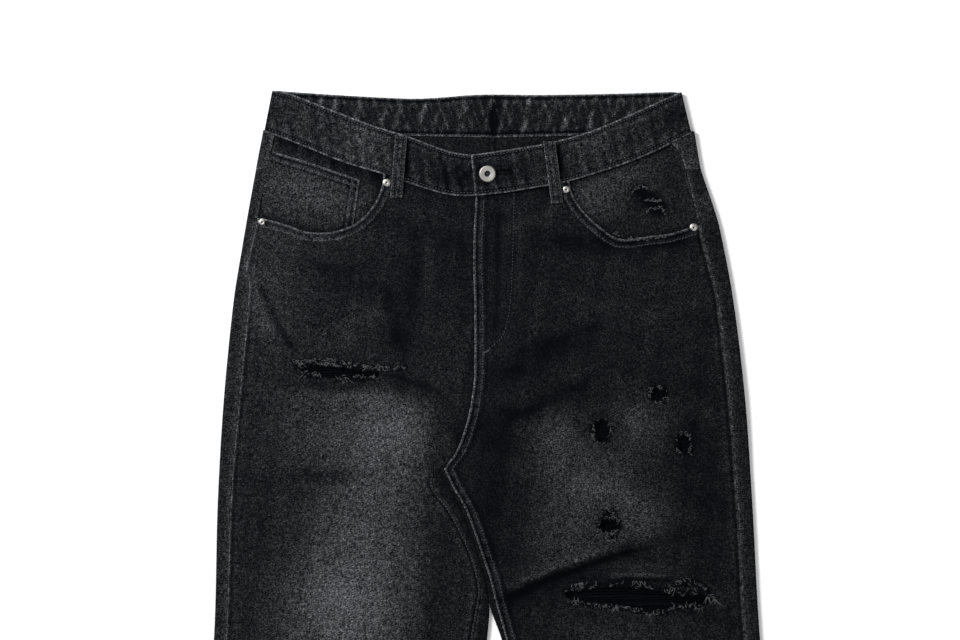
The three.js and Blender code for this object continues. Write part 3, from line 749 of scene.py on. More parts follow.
def open_cloth(bm, cuts, keep, height):
    centres = np.array([face.calc_center_median()[:2] for face in bm.faces])
    x, down = centres[:, 0] / MM - ORIGIN_X, ORIGIN_DOWN - centres[:, 1] / MM
    gone = np.zeros(len(x), bool)
    for loop in cuts:
        gone |= inside(loop, x, down)
    if keep:
        gone |= ~inside(keep, x, down)
    doomed = [face for face, away in zip(bm.faces, gone) if away]
    bmesh.ops.delete(bm, geom=doomed, context="FACES")
    edges = [loop + loop[:1] for loop in cuts]
    if keep:
        edges.append(keep + keep[:1])
    for line in edges:
        snap_edge(bm, line, height, 2.6)


def copies(name, template, places, material):
    """Many copies of one small mesh, joined; each place turns the template's points into its own"""
    base = np.array([vert.co[:] for vert in template.vertices])
    bm = bmesh.new()
    for place in places:
        start = len(bm.verts)
        bm.from_mesh(template)
        bm.verts.ensure_lookup_table()
        for k, point in enumerate(place(base)):
            bm.verts[start + k].co = point
    return link(name, to_mesh(bm, name), [material], None)


# ---- fronts ---------------------------------------------------------------------------------------------

HIP_SIDE = [62, 77, 95, 112, 132, 158, 186, 216, 248, 282, 316, 346, 364, CROTCH, HEM]
HIP_INNER = [118, 131, 146, 160, 177, 199, 222, 247, 274, 302, 330, 352, 366, CROTCH, HEM]
SIDE_MARGIN = 0.06
FLY_HEM = 8.5


def inner_edge(side, down):
    if side == "left":
        above = fly_edge(down) + mix(12, -10.3, soft(CROTCH - 6, CROTCH + 1, down))
        return np.where(down >= CROTCH, inseam[side](down) - GAP, above)
    return np.where(down >= CROTCH, inseam[side](down) + GAP, fly_edge(down))


def front_point(side, u, at_side):
    """A point of the front's outline grid: u runs from the side seam to the fly, crotch and inseam"""
    waist = WAIST_AT_SEAM[side]
    inner = np.interp(at_side, [waist] + HIP_SIDE, [WAIST_AT_FLY] + HIP_INNER)
    side_x = side_seam[side](at_side) - OUT[side] * GAP / 2
    x = mix(side_x, inner_edge(side, inner), u)
    top_x = mix(side_seam[side](waist), inner_edge(side, WAIST_AT_FLY), u)
    sag = band_foot_front(top_x) - mix(waist, WAIST_AT_FLY, u)
    down = mix(at_side, inner, u) + sag * np.minimum(1, u / SIDE_MARGIN) * (1 - soft(waist, 250, at_side))
    return x, down, np.abs(inner_edge(side, inner) - side_x)


def rows_down(start, fine=2.5, coarse=6.0):
    return np.concatenate([np.linspace(start, FRAMED, round((FRAMED - start) / fine)),
                           np.linspace(FRAMED, HEM, round((HEM - FRAMED) / coarse))[1:]])


def front_surface(side, x, down):
    """Height of the middle of the front cloth with its creases, puckers and unevenness"""
    return front_height(side, x, down) + rumple(x, down) + sum(each(x, down) for each in creases[side])


creases = {
    "left": [
        fold([(-62, 300), (-45, 306), (-28, 322), (-26, 360)], -1.1, 6, 6),
        fold([(-206, 236), (-186, 268), (-160, 280)], -0.9, 8, 6),
        fold([(-235, 190), (-214, 230), (-196, 262)], 0.8, 10, 9),
        fold([(-170, 388), (-140, 380), (-112, 392)], -0.8, 12, 10),
        fold([(-190, 140), (-160, 150), (-120, 146), (-90, 128)], 0.7, 10, 14),
        fold([(-108, 150), (-82, 200), (-78, 270)], -0.8, 16, 16),
        fold([(-150, 430), (-110, 420), (-86, 440)], 0.9, 18, 18),
        fold([(-175, 520), (-140, 505), (-100, 520)], 0.8, 24, 24),
    ],
    "right": [
        fold([(16, 512), (60, 491), (106, 474), (150, 461), (196, 449), (244, 434)], -1.4, 4, 9, 0.08),
        fold([(10, 338), (40, 312), (74, 306), (110, 300)], -1.0, 14, 12),
        fold([(20, 300), (62, 262), (104, 248)], -1.0, 14, 14),
        fold([(92, 140), (140, 156), (200, 148)], -0.6, 8, 10),
        fold([(120, 230), (160, 206), (220, 196)], 0.8, 16, 16),
        fold([(40, 236), (90, 216), (150, 180)], 0.6, 14, 14),
        fold([(60, 380), (110, 390), (140, 372)], 0.7, 16, 16),
        fold([(40, 460), (80, 452), (130, 436), (180, 420)], 0.9, 16, 14),
        fold([(2, 440), (14, 420), (22, 390)], -0.9, 14, 14),
    ],
}


def edge_look(side, u, v, x, down):
    """Grey level and wear of a front, with its rubbed seam edges, painted shade in their stitch grooves and
    painted shade beside the fly
    """
    width = front_point(side, u, v)[2]
    to_side, to_inner = u * width, (1 - u) * width
    level = front_level(side, x, down)
    crest = crests(down, 8, 2)
    at_side, wear = seam_edge(to_side, 0.5 + 0.4 * ripple(down, 11, 1))
    level, wear = level + 0.6 * at_side, 0.8 * wear
    shift, rub = seam_edge(to_inner, crest)
    if side == "right":
        rubbed = (0.3 + 0.7 * soft(210, 290, down)) * soft(620, 500, down)
        ridge = bell(to_inner - FLY_HEM - 0.6, 1.3) * rubbed
        level = level + 12 * np.clip(ripple(down + 0.5 * x, 12, 4), 0, 1) * bell(to_inner - 5, 4)
        # painted shade: a dark line just past the raised fly hem
        level = level + shift + 6 * ridge * crest - 8 * bell(to_inner - FLY_HEM - 3.5, 2)
        wear = wear + 1.15 * rub + 0.12 * ridge * crest
    else:
        seam = soft(CROTCH, CROTCH + 6, down)
        # painted shade near the left front's inner edge, under the fly's edge above the crotch
        level = level + shift * seam - 6 * (1 - seam) * bell(to_inner - 10, 6)
        wear = wear + 0.4 * rub * seam
    return level, np.clip(wear, 0, 1)


def front_place(side):
    def place(u, v):
        x, down, width = front_point(side, u, v)
        to_side, to_inner = u * width, (1 - u) * width
        z = front_surface(side, x, down)
        crest = ripple(down, 8, 2)
        z = z + 0.3 * crest * bell(to_side, 7)
        if side == "right":
            z = z + 0.8 * soft(FLY_HEM + 1.6, FLY_HEM, to_inner) + 0.35 * crest * bell(to_inner, 12)
        else:
            inseam_part = soft(CROTCH, CROTCH + 10, down)
            z = z + inseam_part * (0.5 * soft(9.5, 8, to_inner) + 0.3 * crest * bell(to_inner, 10))
        return x, down, z
    return place


LEFT_RIP_TOP = [(-184, 277), (-176, 272.5), (-157, 273.4), (-133, 276), (-112, 278), (-101, 281)]
LEFT_RIP_FOOT = [(-176, 280.5), (-160, 284.5), (-143, 286.6), (-122, 286), (-104, 285.5)]
RIGHT_RIP_TOP = [(84, 500), (112, 495), (163, 495), (192, 501), (224, 503), (236, 507)]
RIGHT_RIP_FOOT = [(92, 508), (117, 511), (140, 513), (160, 518), (181, 518), (198, 513), (222, 513)]
SMALL_HOLES = [(178, 301.5, 10, 7.5), (121.5, 338.5, 9.5, 11.5), (203.5, 351.5, 7.5, 10.5),
               (130, 432.5, 11.5, 8), (128, 420.5, 6, 4), (131, 443.5, 4.5, 4.5)]


def torn(points, seed, uneven=1.1):
    """A closed torn outline: a smooth line through the points, made ragged"""
    draw = random.Random(seed)
    line = smooth_line(points + points[:1], 2.2)[:-1]
    return [(x + draw.uniform(-uneven, uneven), down + draw.uniform(-uneven, uneven)) for x, down in line]


def hole_points(x, down, half_width, half_height):
    return [(x + half_width * math.cos(a), down + half_height * math.sin(a))
            for a in [2 * math.pi * k / 10 for k in range(10)]]


def above_mouth(side, lower=0):
    """The ground above a pocket mouth, past the waist seam and the side, as a closed outline"""
    mouth = smooth_line(pocket_mouth[side], 2)
    moved = offset_line(mouth, OUT[side] * lower) if lower else mouth
    out = -260 if side == "left" else 270
    return [(moved[0][0], 20)] + moved + [(out, moved[-1][1]), (out, 20)]


def rips_of(side):
    if side == "left":
        return [torn(LEFT_RIP_TOP + LEFT_RIP_FOOT[::-1], 3)]
    holes = [torn(hole_points(*hole), 11 + k, 1.6) for k, hole in enumerate(SMALL_HOLES)]
    return [torn(RIGHT_RIP_TOP + RIGHT_RIP_FOOT[::-1], 5)] + holes


MOUTH_HEM = 9
TRIM = 0.5 * MM


def beside(line, distance):
    """The line moved sideways by a distance, as a function of how far along it (0 to 1)"""
    points = np.array(line)
    moved = np.array(offset_line(line, distance))
    at = np.linspace(0, 1, len(points))

    def find(t):
        return np.interp(t, at, moved[:, 0]), np.interp(t, at, moved[:, 1])
    return find


def mouth_line(side):
    """The pocket mouth, from the waistband to the side seam"""
    return [(x, down) for x, down in smooth_line(pocket_mouth[side], 1.5)
            if abs(x) < abs(side_seam[side](down)) - 1.5]


def mouth_strip(side):
    """The turned hem along a pocket mouth, rubbed pale on its rolled edge"""
    line = mouth_line(side)
    edge, foot = beside(line, 0), beside(line, OUT[side] * MOUTH_HEM)

    def place(u, v):
        (ex, ed), (fx, fd) = edge(v), foot(v)
        x, down = mix(ex, fx, u), mix(ed, fd, u)
        crest = ripple(v * 170, 8, 5)
        proud = 0.25 + 0.45 * np.sin(math.pi * np.clip(u * 1.1, 0, 1)) ** 0.5 + 0.2 * crest * (1 - u)
        return x, down, front_surface(side, x, down) + DENIM / 2 + proud

    def look(u, v, x, down):
        crest = crests(v * 170, 7, 5)
        shift, wear = seam_edge(u * MOUTH_HEM, crest)
        foot_wear = 0.35 * bell((1 - u) * MOUTH_HEM, 1.3) * crest
        return front_level(side, x, down) + 4 + shift, np.clip(wear + foot_wear, 0, 1)

    return cloth(f"mouth_hem_{side}", np.linspace(0, 1, 13), np.linspace(0, 1, 130), place, look, 0.0,
                 "denim", None, thickness=TRIM)


def leg_hem(side):
    """The turned hem round the open end of a leg"""
    def place(u, v):
        at = HEM - 26 + 25 * v
        x, _, _ = front_point(side, u, at)
        return x, at, front_surface(side, x, at) + DENIM / 2 + 0.3 + 0.1 * OUT[side] * ripple(x, 9, 2) * v

    def look(u, v, x, down):
        crest = crests(x, 9, 2)
        return 30 + 12 * crest, bell((1 - v) * 25, 2) * (0.4 + 0.5 * crest)

    return cloth(f"leg_hem_{side}", np.linspace(0.01, 0.99, 150), np.linspace(0, 1, 20), place, look, 0.0,
                 "denim", None, thickness=TRIM)


class JEANS_OT_fronts(bpy.types.Operator):
    """Both fronts, with their pocket mouths, rips and holes cut out"""
    bl_idname = "jeans.fronts"
    bl_label = "Fronts"

    def execute(self, context):
        for side, width in (("left", 315), ("right", 365)):
            piece = cloth(
                f"denim_front_{side}", spaced(240, 1.0, 2.6, 12), rows_down(WAIST_AT_SEAM[side]),
                front_place(side), lambda u, v, x, down: edge_look(side, u, v, x, down), 2.0,
                "denim", f"front_{side}", cuts=[above_mouth(side)] + rips_of(side),
                height=lambda x, down: front_surface(side, x, down))
            trims = [mouth_strip(side), leg_hem(side)]
        return {"FINISHED"}


# ---- pockets --------------------------------------------------------------------------------------------

SCUFFS = [((160, 99), (7, 5), -20, 30), ((168, 107), (6, 6), -22, -20), ((179, 113), (8, 5), -22, 10),
          ((179, 121), (6, 4), -20), ((170, 96), (9, 5), 16, -20), ((188, 104), (6, 8), 10)]


def facing_look(side):
    def look(u, v, x, down):
        base = 28 if side == "left" else 29
        level = base + patches(FACING_PATCHES[side], x, down)
        from_band = np.maximum(0, down - band_foot_front(x))
        crumple = 0.6 + 0.4 * ripple(x, 13, 3)
        # painted shade under the waistband's foot, crumpled along it
        shade = 24 * bell(from_band, 13) * crumple if side == "left" else 12 * bell(from_band, 5)
        if side == "right":
            level = level + patches(SCUFFS, x, down)
        near_mouth = nearest(pocket_mouth[side], x, down)[0]
        # painted shade under the pocket mouth's edge, which lies over the facing
        level = level - shade - 10 * bell(near_mouth, 5)
        at_side = np.abs(x - side_seam[side](down))
        return np.maximum(level, 10), 0.5 * bell(at_side, 1.4)
    return look


def flat_place(side, z):
    def place(u, v):
        x, down, _ = front_point(side, u, v)
        down = down - 2.2 * (1 - soft(WAIST_AT_SEAM[side], WAIST_AT_SEAM[side] + 10, v))
        return x, down, z + 0.5 * rumple(x, down)
    return place


COIN_TOP = [(-206, 60), (-170, 71), (-130, 84.5), (-120, 88.5)]
COIN_SIDE = [(-120, 88.5), (-121.6, 99.6), (-124, 116), (-128, 142)]


class JEANS_OT_pockets(bpy.types.Operator):
    """Pocket facings, coin pocket and the back pockets under the seat"""
    bl_idname = "jeans.pockets"
    bl_label = "Pockets"

    def execute(self, context):
        for side in SIDES:
            rows = np.linspace(WAIST_AT_SEAM[side], 180, 60)
            piece = cloth(f"denim_facing_{side}", np.linspace(0, 0.72, 76), rows, flat_place(side, FACING),
                          facing_look(side), 0.0, "denim", f"facing_{side}", keep=above_mouth(side, 12),
                          height=lambda x, down: FACING + 0.5 * rumple(x, down))
            self.back_pocket(side)
        ground = COIN_TOP + COIN_SIDE[1:] + [(-140, 170), (-240, 170), (-240, 60)]
        lower = above_mouth("left", 7)

        def coin_surface(x, down):
            return FRONT_SEAT + 0.5 * rumple(x, down)

        piece = cloth("denim_coin_pocket", np.linspace(0, 0.5, 120),
                      np.linspace(WAIST_AT_SEAM["left"], 170, 120), flat_place("left", FRONT_SEAT),
                      self.coin_look, 0.0, "denim", "coin_pocket", cuts=[self.outside_coin(lower)],
                      keep=ground, height=coin_surface)
        return {"FINISHED"}

    @staticmethod
    def outside_coin(lower):
        """Everything below the coin pocket's hidden end"""
        mouth = lower[1:-2]
        return mouth + [(-300, mouth[-1][1]), (-300, 200), (0, 200), (0, mouth[0][1])]

    @staticmethod
    def coin_look(u, v, x, down):
        level = 32 + patches(FACING_PATCHES["left"], x, down) * 0.6
        crest = crests(x + down, 7, 3)
        top_shift, top_wear = seam_edge(nearest(COIN_TOP, x, down)[0], crest)
        side_shift, side_wear = seam_edge(nearest(COIN_SIDE, x, down)[0], crest)
        near_mouth = nearest(pocket_mouth["left"], x, down)[0]
        # painted shade in the grooves past the stitch rows, and under the pocket mouth's edge
        rows = sum(bell(nearest(line, x, down)[0] - 9.5, 1.3) for line in (COIN_TOP, COIN_SIDE))
        level = level + 1.6 * top_shift + 1.2 * side_shift - 20 * rows - 14 * bell(near_mouth, 5)
        return np.maximum(level, 12), np.clip(1.1 * top_wear + 0.9 * side_wear, 0, 1)

    @staticmethod
    def back_pocket(side):
        out, centre = OUT[side], POCKET_CENTRE[side]
        shape = [(centre - out * x, down) for x, down in BACK_POCKET]
        left = min(x for x, _ in shape)
        right = max(x for x, _ in shape)

        def place(u, v):
            return mix(left, right, u), mix(148, 318, v), DENIM / 2 + 0 * u

        def look(u, v, x, down):
            edge = nearest(shape + shape[:1], x, down)[0]
            crest = crests(x + down, 9, 4)
            return 30 + 14 * bell(edge, 26), bell(edge, 1.8) * (0.3 + 0.5 * crest)

        piece = cloth(f"denim_back_pocket_{side}", np.linspace(0, 1, 58), np.linspace(0, 1, 64), place, look,
                      10.0, "denim", f"back_pocket_{side}", keep=shape, height=lambda x, down: DENIM / 2)


POCKET_CENTRE = {"left": -112, "right": 114}
BACK_POCKET = [(-78, 148), (78, 156), (72, 296), (4, 318), (-70, 288)]


# ---- backs and yokes ------------------------------------------------------------------------------------

def fold_turn(edge, out, t, low, high):
    """Half a turn round a folded edge; t runs from the top layer (0) down to the bottom one (1)"""
    radius = (high - low) / 2
    angle = math.pi / 2 - math.pi * t
    middle = edge - out * (radius + DENIM / 2)
    return middle + out * radius * np.cos(angle), low + radius * (1 + np.sin(angle))


STRIP, TURN, UNDER, INNER_TURN = 0.1, 0.2, 0.8, 0.9


def back_across():
    return np.concatenate([np.linspace(0, STRIP, 8), np.linspace(STRIP, TURN, 8)[1:],
                           np.linspace(TURN, UNDER, 52)[1:], np.linspace(UNDER, INNER_TURN, 8)[1:],
                           np.linspace(INNER_TURN, 1, 7)[1:]])


LEG_TUCK = 0.5
BAND_TUCK = 1.5


def back_point(side, u, at_side, at_inner):
    """A point of the back: from its side seam on top, round the fold, under, and up to the inseam"""
    out = OUT[side]
    seam_x = side_seam[side](at_side) + out * GAP / 2
    high = front_height(side, side_seam[side](at_side), at_side)
    low = back_height(at_side)
    turn_x, turn_z = fold_turn(outline[side](at_side), out, np.clip((u - STRIP) / (TURN - STRIP), 0, 1),
                               low, high)
    start_x = fold_turn(outline[side](at_side), out, 0, low, high)[0]
    x = np.where(u < STRIP, mix(seam_x, start_x, u / STRIP), turn_x)
    z = np.where(u < STRIP, high, turn_z)
    inner_low = back_height(at_inner)
    joined = inseam[side](np.maximum(at_inner, CROTCH))
    inner_high = front_height(side, joined, at_inner)
    edge = inner_fold[side](np.maximum(at_inner, CROTCH)) - out * LEG_TUCK * (1 - soft(480, 505, at_inner))
    t = np.clip((u - UNDER) / (INNER_TURN - UNDER), 0, 1)
    round_x, round_z = fold_turn(edge, -out, 1 - t, inner_low, inner_high)
    top_x = fold_turn(edge, -out, 0, inner_low, inner_high)[0]
    s = np.clip((u - INNER_TURN) / (1 - INNER_TURN), 0, 1)
    folded_x = np.where(u > INNER_TURN, mix(top_x, joined - out * GAP, s), round_x)
    folded_z = np.where(u > INNER_TURN, inner_high, round_z)
    flat_x = seat_seam(at_inner) + out * GAP / 2 + out * 5 * (1 - (u - UNDER) / (1 - UNDER))
    closed = soft(CROTCH - 9, CROTCH - 2, at_inner)
    end_x = mix(flat_x, folded_x, closed)
    end_z = mix(inner_low, folded_z, closed)
    flat_start = seat_seam(at_inner) + out * (GAP / 2 + 5)
    under_end = mix(flat_start, fold_turn(edge, -out, 1, inner_low, inner_high)[0], closed)
    w = np.clip((u - TURN) / (UNDER - TURN), 0, 1)
    down = mix(at_side, at_inner, w)
    under_x = mix(fold_turn(outline[side](at_side), out, 1, low, high)[0], under_end, w)
    x = np.where(u > UNDER, end_x, np.where(u > TURN, under_x, x))
    z = np.where(u > UNDER, end_z, np.where(u > TURN, back_height(down), z))
    return x, down, z


BACK_PATCHES = [((0, 230), (150, 60), 10), ((-150, 700), (60, 90), 8), ((175, 720), (60, 90), 8)]
STRIP_PATCHES = [((226, 112), (8, 12), 14), ((213, 62), (8, 14), 10), ((230, 150), (8, 20), -4),
                 ((-232, 200), (9, 60), 4), ((236, 240), (9, 70), -3)]


def back_look(side, u, x, down, z):
    under = z < 2.6
    level = np.where(under, 27 + patches(BACK_PATCHES, x, down),
                     (31 if side == "left" else 26) + patches(STRIP_PATCHES, x, down))
    strip = u < STRIP
    width = np.abs(outline[side](down) - side_seam[side](down))
    to_seam = u / STRIP * width
    wear = np.where(strip, bell(to_seam, 1.4) * (0.45 + 0.4 * ripple(down, 10, 5)), 0)
    to_inseam = (1 - u) / (1 - INNER_TURN) * 8
    wear = wear + np.where(u > INNER_TURN, bell(to_inseam, 1.6) * (0.3 + 0.3 * ripple(down, 9, 6)), 0)
    level = level + np.where(strip, 8 * bell(to_seam - 3, 3), 0)
    # painted shade: the folded strip at the inseam is set dark, as the shade beside the legs' overlapping
    # inner edges
    level = np.where(u > UNDER, 19, level)
    return level, np.clip(wear, 0, 1)


class JEANS_OT_backs(bpy.types.Operator):
    """Backs and yokes, folded round the sides of the garment on to its top"""
    bl_idname = "jeans.backs"
    bl_label = "Backs and yokes"

    def execute(self, context):
        for side in SIDES:
            self.back(side)
            self.yoke(side)
        return {"FINISHED"}

    @staticmethod
    def inner_rows(side, at_side):
        inner = np.interp(at_side, [WAIST_AT_SEAM[side]] + HIP_SIDE, [WAIST_AT_FLY] + HIP_INNER)
        start = np.interp(YOKE_AT_SEAM, HIP_SIDE, HIP_INNER)
        return inner + (YOKE_AT_SEAT - start) * (1 - soft(YOKE_AT_SEAM, CROTCH, at_side))

    def back(self, side):
        def place(u, v):
            x, down, z = back_point(side, u, v, self.inner_rows(side, v))
            return x, down + GAP, z + np.where(z > 3, 0.4 * rumple(x, down), 0)

        def look(u, v, x, down):
            return back_look(side, u, x, down, place(u, v)[2])

        piece = cloth(f"denim_back_{side}", back_across(), rows_down(YOKE_AT_SEAM, 3.0, 7.0), place, look,
                      2.9, "denim", f"back_{side}")

    @staticmethod
    def yoke(side):
        def place(u, v):
            top = mix(WAIST_AT_SEAM[side], YOKE_AT_SEAM, v)
            x, down, z = back_point(side, u, top, mix(45.6, YOKE_AT_SEAT, v))
            first_x, first_down, first_z = back_point(side, u, WAIST_AT_SEAM[side] + 0 * v, 45.6 + 0 * v)
            turn = np.where(first_z > FACING, band_foot_front(first_x), band_foot_back(first_x))
            return x, down + (turn - BAND_TUCK - first_down) * (1 - v), z

        def look(u, v, x, down):
            level, wear = back_look(side, u, x, down, place(u, v)[2])
            crest = crests(x, 9, 3)
            return level + 6, np.clip(wear + bell((1 - v) * 60, 1.8) * (0.3 + 0.4 * crest), 0, 1)

        piece = cloth(f"denim_yoke_{side}", back_across(), spaced(70, 1.0, 3.0, 6), place, look, 2.9,
                      "denim", f"yoke_{side}", inner="shaded_twill")


# ---- waistband and loops --------------------------------------------------------------------------------

BAND_END = 40
BAND_RADIUS = (FRONT_BAND - BACK_BAND) / 2
BAND_FRONT, BAND_TURN = 0.5, 0.54
BUTTONHOLE = [(2, 79.8), (33, 77.8), (33, 82.8), (2, 85)]


def band_turn(side, down):
    return float(outline[side](down)) - OUT[side] * (BAND_RADIUS + BAND / 2)


def band_place(side):
    out = OUT[side]
    start, foot_start = (BAND_END, BAND_END) if side == "left" else (-9, -5)
    top_turn, foot_turn = band_turn(side, -2), band_turn(side, 40)
    centre = CENTRE_BACK + out * GAP / 2

    def place(u, v):
        s = np.clip(v / BAND_FRONT, 0, 1)
        top_x, foot_x = mix(start, top_turn, s), mix(foot_start, foot_turn, s)
        top_down, foot_down = band_top_front(top_x), band_foot_front(foot_x)
        angle = math.pi / 2 - math.pi * np.clip((v - BAND_FRONT) / (BAND_TURN - BAND_FRONT), 0, 1)
        reach = out * BAND_RADIUS * np.cos(angle)
        b = np.clip((v - BAND_TURN) / (1 - BAND_TURN), 0, 1)
        back_top, back_foot = mix(top_turn, centre, b), mix(foot_turn, centre, b)
        behind = v > BAND_TURN
        settle = soft(0, 0.05, b)
        x0 = np.where(behind, back_top, top_x + reach)
        x1 = np.where(behind, back_foot, foot_x + reach)
        d0 = np.where(behind, mix(top_down, band_top_back(back_top), settle), top_down)
        d1 = np.where(behind, mix(foot_down, band_foot_back(back_foot), settle), foot_down)
        turn_z = BACK_BAND + BAND_RADIUS * (1 + np.sin(angle))
        x, down = mix(x0, x1, u), mix(d0, d1, u)
        z = np.where(behind, BACK_BAND, np.where(v > BAND_FRONT, turn_z, band_height(side, x)))
        run = x + 400 * behind
        pucker = ripple(run + 6 * u, 9, 1) * (bell(u * 42, 6) + bell((1 - u) * 42, 6))
        inside_pucker = np.where(behind, 0.35 * ripple(x + 22 * u, 15, 2), 0.15 * rumple(x, down))
        return x, down, z + 0.25 * pucker + inside_pucker
    return place


LOOP_WIDTH = 12
FRONT_LOOPS = [("belt_loop_1", "left", (-78.5, 44), (-83.5, 106)),
               ("belt_loop_2", "right", (69, 50), (77, 111.5))]
BACK_LOOPS = [("belt_loop_3", -118), ("belt_loop_4", 13), ("belt_loop_5", 120)]


def band_look(side):
    def look(u, v, x, down):
        behind = v > BAND_FRONT
        top, foot = u * 42, (1 - u) * 42
        crest = crests(x, 7, 3)
        spot = ripple(x + 5 * u, 11, 2) * ripple(down - 0.3 * x, 17, 4)
        lean = np.clip(ripple(x - 10 * u, 13, 5), -1, 1)
        front = 26 + patches(BAND_PATCHES, x, down) + 12 * spot + 9 * lean * (0.4 + u)
        streak = np.clip(ripple(x + 9 * u, 13, 2), 0, 1) + 0.8 * np.clip(ripple(x - 14 * u, 8, 4), 0, 1)
        back = 22 + 60 * streak * (crests(down + x, 19, 1)) * soft(0, 0.12, u)
        back = back - 14 * bell(x - CENTRE_BACK, 10) - 12 * soft(0.7, 0.9, u)
        for _, _, loop_top, loop_foot in FRONT_LOOPS:
            across = x - mix(loop_top[0], loop_foot[0], u * 0.7)
            shade = 17 + 11 * np.sign(across)
            front = front - shade * bell(np.abs(across) - LOOP_WIDTH / 2 - 1, 3.2)
        top_shift, top_wear = seam_edge(top, crest)
        foot_shift, foot_wear = seam_edge(foot, crests(x, 8, 6))
        wear = 1.35 * top_wear + 1.15 * foot_wear
        start = -9 + 4 * u
        if side == "right":
            wear = wear + bell(x - start, 2.0) * (~behind) * (0.7 + 0.3 * crest)
            # painted shade in a groove a little in from the band's end
            front = front - 8 * bell(x - start - 5, 2.5)
        level = np.where(behind, back, front) + 1.3 * (top_shift + foot_shift)
        return np.maximum(level, 10), np.clip(wear, 0, 1)
    return look


def loop_surface(side, x, down, s):
    over = BAND / 2 + GAP + DENIM / 2
    on_band = band_height(side, x) + over + 1.2 * np.sin(math.pi * np.minimum(1, s / 0.8))
    on_front = front_height(side, x, down) + LAYER + 0.25
    return np.maximum(mix(on_band, on_front, soft(0.8, 1, s)), on_front)


class JEANS_OT_waistband(bpy.types.Operator):
    """Both halves of the waistband and the five belt loops"""
    bl_idname = "jeans.waistband"
    bl_label = "Waistband and loops"

    def execute(self, context):
        along = np.concatenate([np.linspace(0, BAND_FRONT, 150), np.linspace(BAND_FRONT, BAND_TURN, 9)[1:],
                                np.linspace(BAND_TURN, 1, 140)[1:]])
        for side in SIDES:
            cuts = [BUTTONHOLE] if side == "right" else []
            piece = cloth(f"denim_waistband_{side}", spaced(42, 0.9, 1.8, 10), along, band_place(side),
                          band_look(side), 4.0, "band_denim", f"waistband_{side}", cuts=cuts,
                          height=lambda x, down: band_height(side, x), thickness=sizes().band,
                          inner="washed_twill")
        for name, side, top, foot in FRONT_LOOPS:
            self.front_loop(name, side, top, foot)
        for name, x in BACK_LOOPS:
            self.back_loop(name, x)
        return {"FINISHED"}

    @staticmethod
    def loop_look(u, v, x, down):
        edge = np.minimum(u, 1 - u) * LOOP_WIDTH
        crest = crests(down, 6, 2)
        ends = bell(v, 0.03) + bell(1 - v, 0.03)
        bars = bell(v - 0.08, 0.025) + bell(v - 0.9, 0.025)
        level = 30 + 30 * crest * bell(u - 0.5, 0.17) - 12 * bars
        # painted shade in the grooves of the two stitch rows
        level = level - 12 * bell(edge - 2.8, 1.0)
        return level, np.clip(bell(edge, 1.1) * (0.55 + 0.5 * crest) + 0.4 * ends, 0, 1)

    def front_loop(self, name, side, top, foot):
        def place(u, v):
            x = mix(top[0], foot[0], v) + (u - 0.5) * LOOP_WIDTH
            down = mix(top[1], foot[1], v) + 0 * u
            middle = mix(top[0], foot[0], v)
            return x, down, loop_surface(side, middle, down, v) + 0.25 * np.sin(math.pi * u)

        piece = cloth(f"denim_{name}", np.linspace(0, 1, 13), np.linspace(0, 1, 44), place,
                      self.loop_look, 0.0, "band_denim", name)

    def back_loop(self, name, middle):
        top, foot = float(band_top_back(middle)) + 1, float(band_foot_back(middle)) + 12

        def place(u, v):
            return middle + (u - 0.5) * LOOP_WIDTH, mix(top, foot, v), DENIM / 2 + 0 * u

        piece = cloth(f"denim_{name}", np.linspace(0, 1, 13), np.linspace(0, 1, 36), place,
                      self.loop_look, 5.0, "band_denim", name)


# ---- stitches -------------------------------------------------------------------------------------------

def stitch_template():
    bm = bmesh.new()
    bmesh.ops.create_uvsphere(bm, u_segments=6, v_segments=4, radius=0.5)
    return to_mesh(bm, "stitch_template")


def stitch_at(x, down, z, turn, seed):
    """One stitch lying along a direction, slightly uneven"""
    draw = random.Random(seed)
    length = sizes().stitch / MM * 0.72
    girth = sizes().thread / MM
    turn = turn + draw.uniform(-0.12, 0.12)
    x, down = x + draw.uniform(-0.15, 0.15), down + draw.uniform(-0.15, 0.15)

    def place(base):
        along, across = base[:, 0] * length, base[:, 1] * girth
        px = x + along * math.cos(turn) - across * math.sin(turn)
        pd = down + along * math.sin(turn) + across * math.cos(turn)
        return to_frame(px, pd, z + base[:, 2] * girth)
    return place


def row_of_stitches(line, height, seed):
    """Stitches along a line of (x, down) points, on a surface height(x, down)"""
    run = np.concatenate([[0], np.cumsum([math.dist(a, b) for a, b in zip(line, line[1:])])])
    step = sizes().stitch / MM
    at = np.arange(step / 2, run[-1], step)
    x = np.interp(at, run, [p[0] for p in line])
    down = np.interp(at, run, [p[1] for p in line])
    turn = np.arctan2(np.gradient(down), np.gradient(x)) if len(at) > 1 else np.zeros(len(at))
    z = height(x, down)
    return [stitch_at(*each, seed * 1000 + k) for k, each in enumerate(zip(x, down, z, turn))]


def height_by(x, z):
    """The height of a line of points, as a function of place"""
    order = np.argsort(x)
    return lambda at_x, at_down: np.interp(at_x, x[order], z[order])


def band_line(side, share):
    """A line across a waistband front, share of the way from its top to its foot, as the band lies"""
    place = band_place(side)
    v = np.linspace(0.006, BAND_FRONT, 160)
    x, down, z = place(np.full_like(v, share), v)
    return pairs(x, down), height_by(x, z)


def inside_band_line(side, share):
    """The same across the half of the back that shows its inside"""
    place = band_place(side)
    v = np.linspace(BAND_TURN + 0.03, 0.996, 160)
    x, down, z = place(np.full_like(v, share), v)
    return pairs(x, down), height_by(x, z)


J_STITCH = [(34, 101), (33, 150), (31, 200), (28, 225), (22, 244), (11, 255), (-2, 264)]
FLY_ROW_OFFSET = (1.9, 8.4)
SEAM_ROWS = (2.4, 8.4)
THREAD_SINK = 0.1


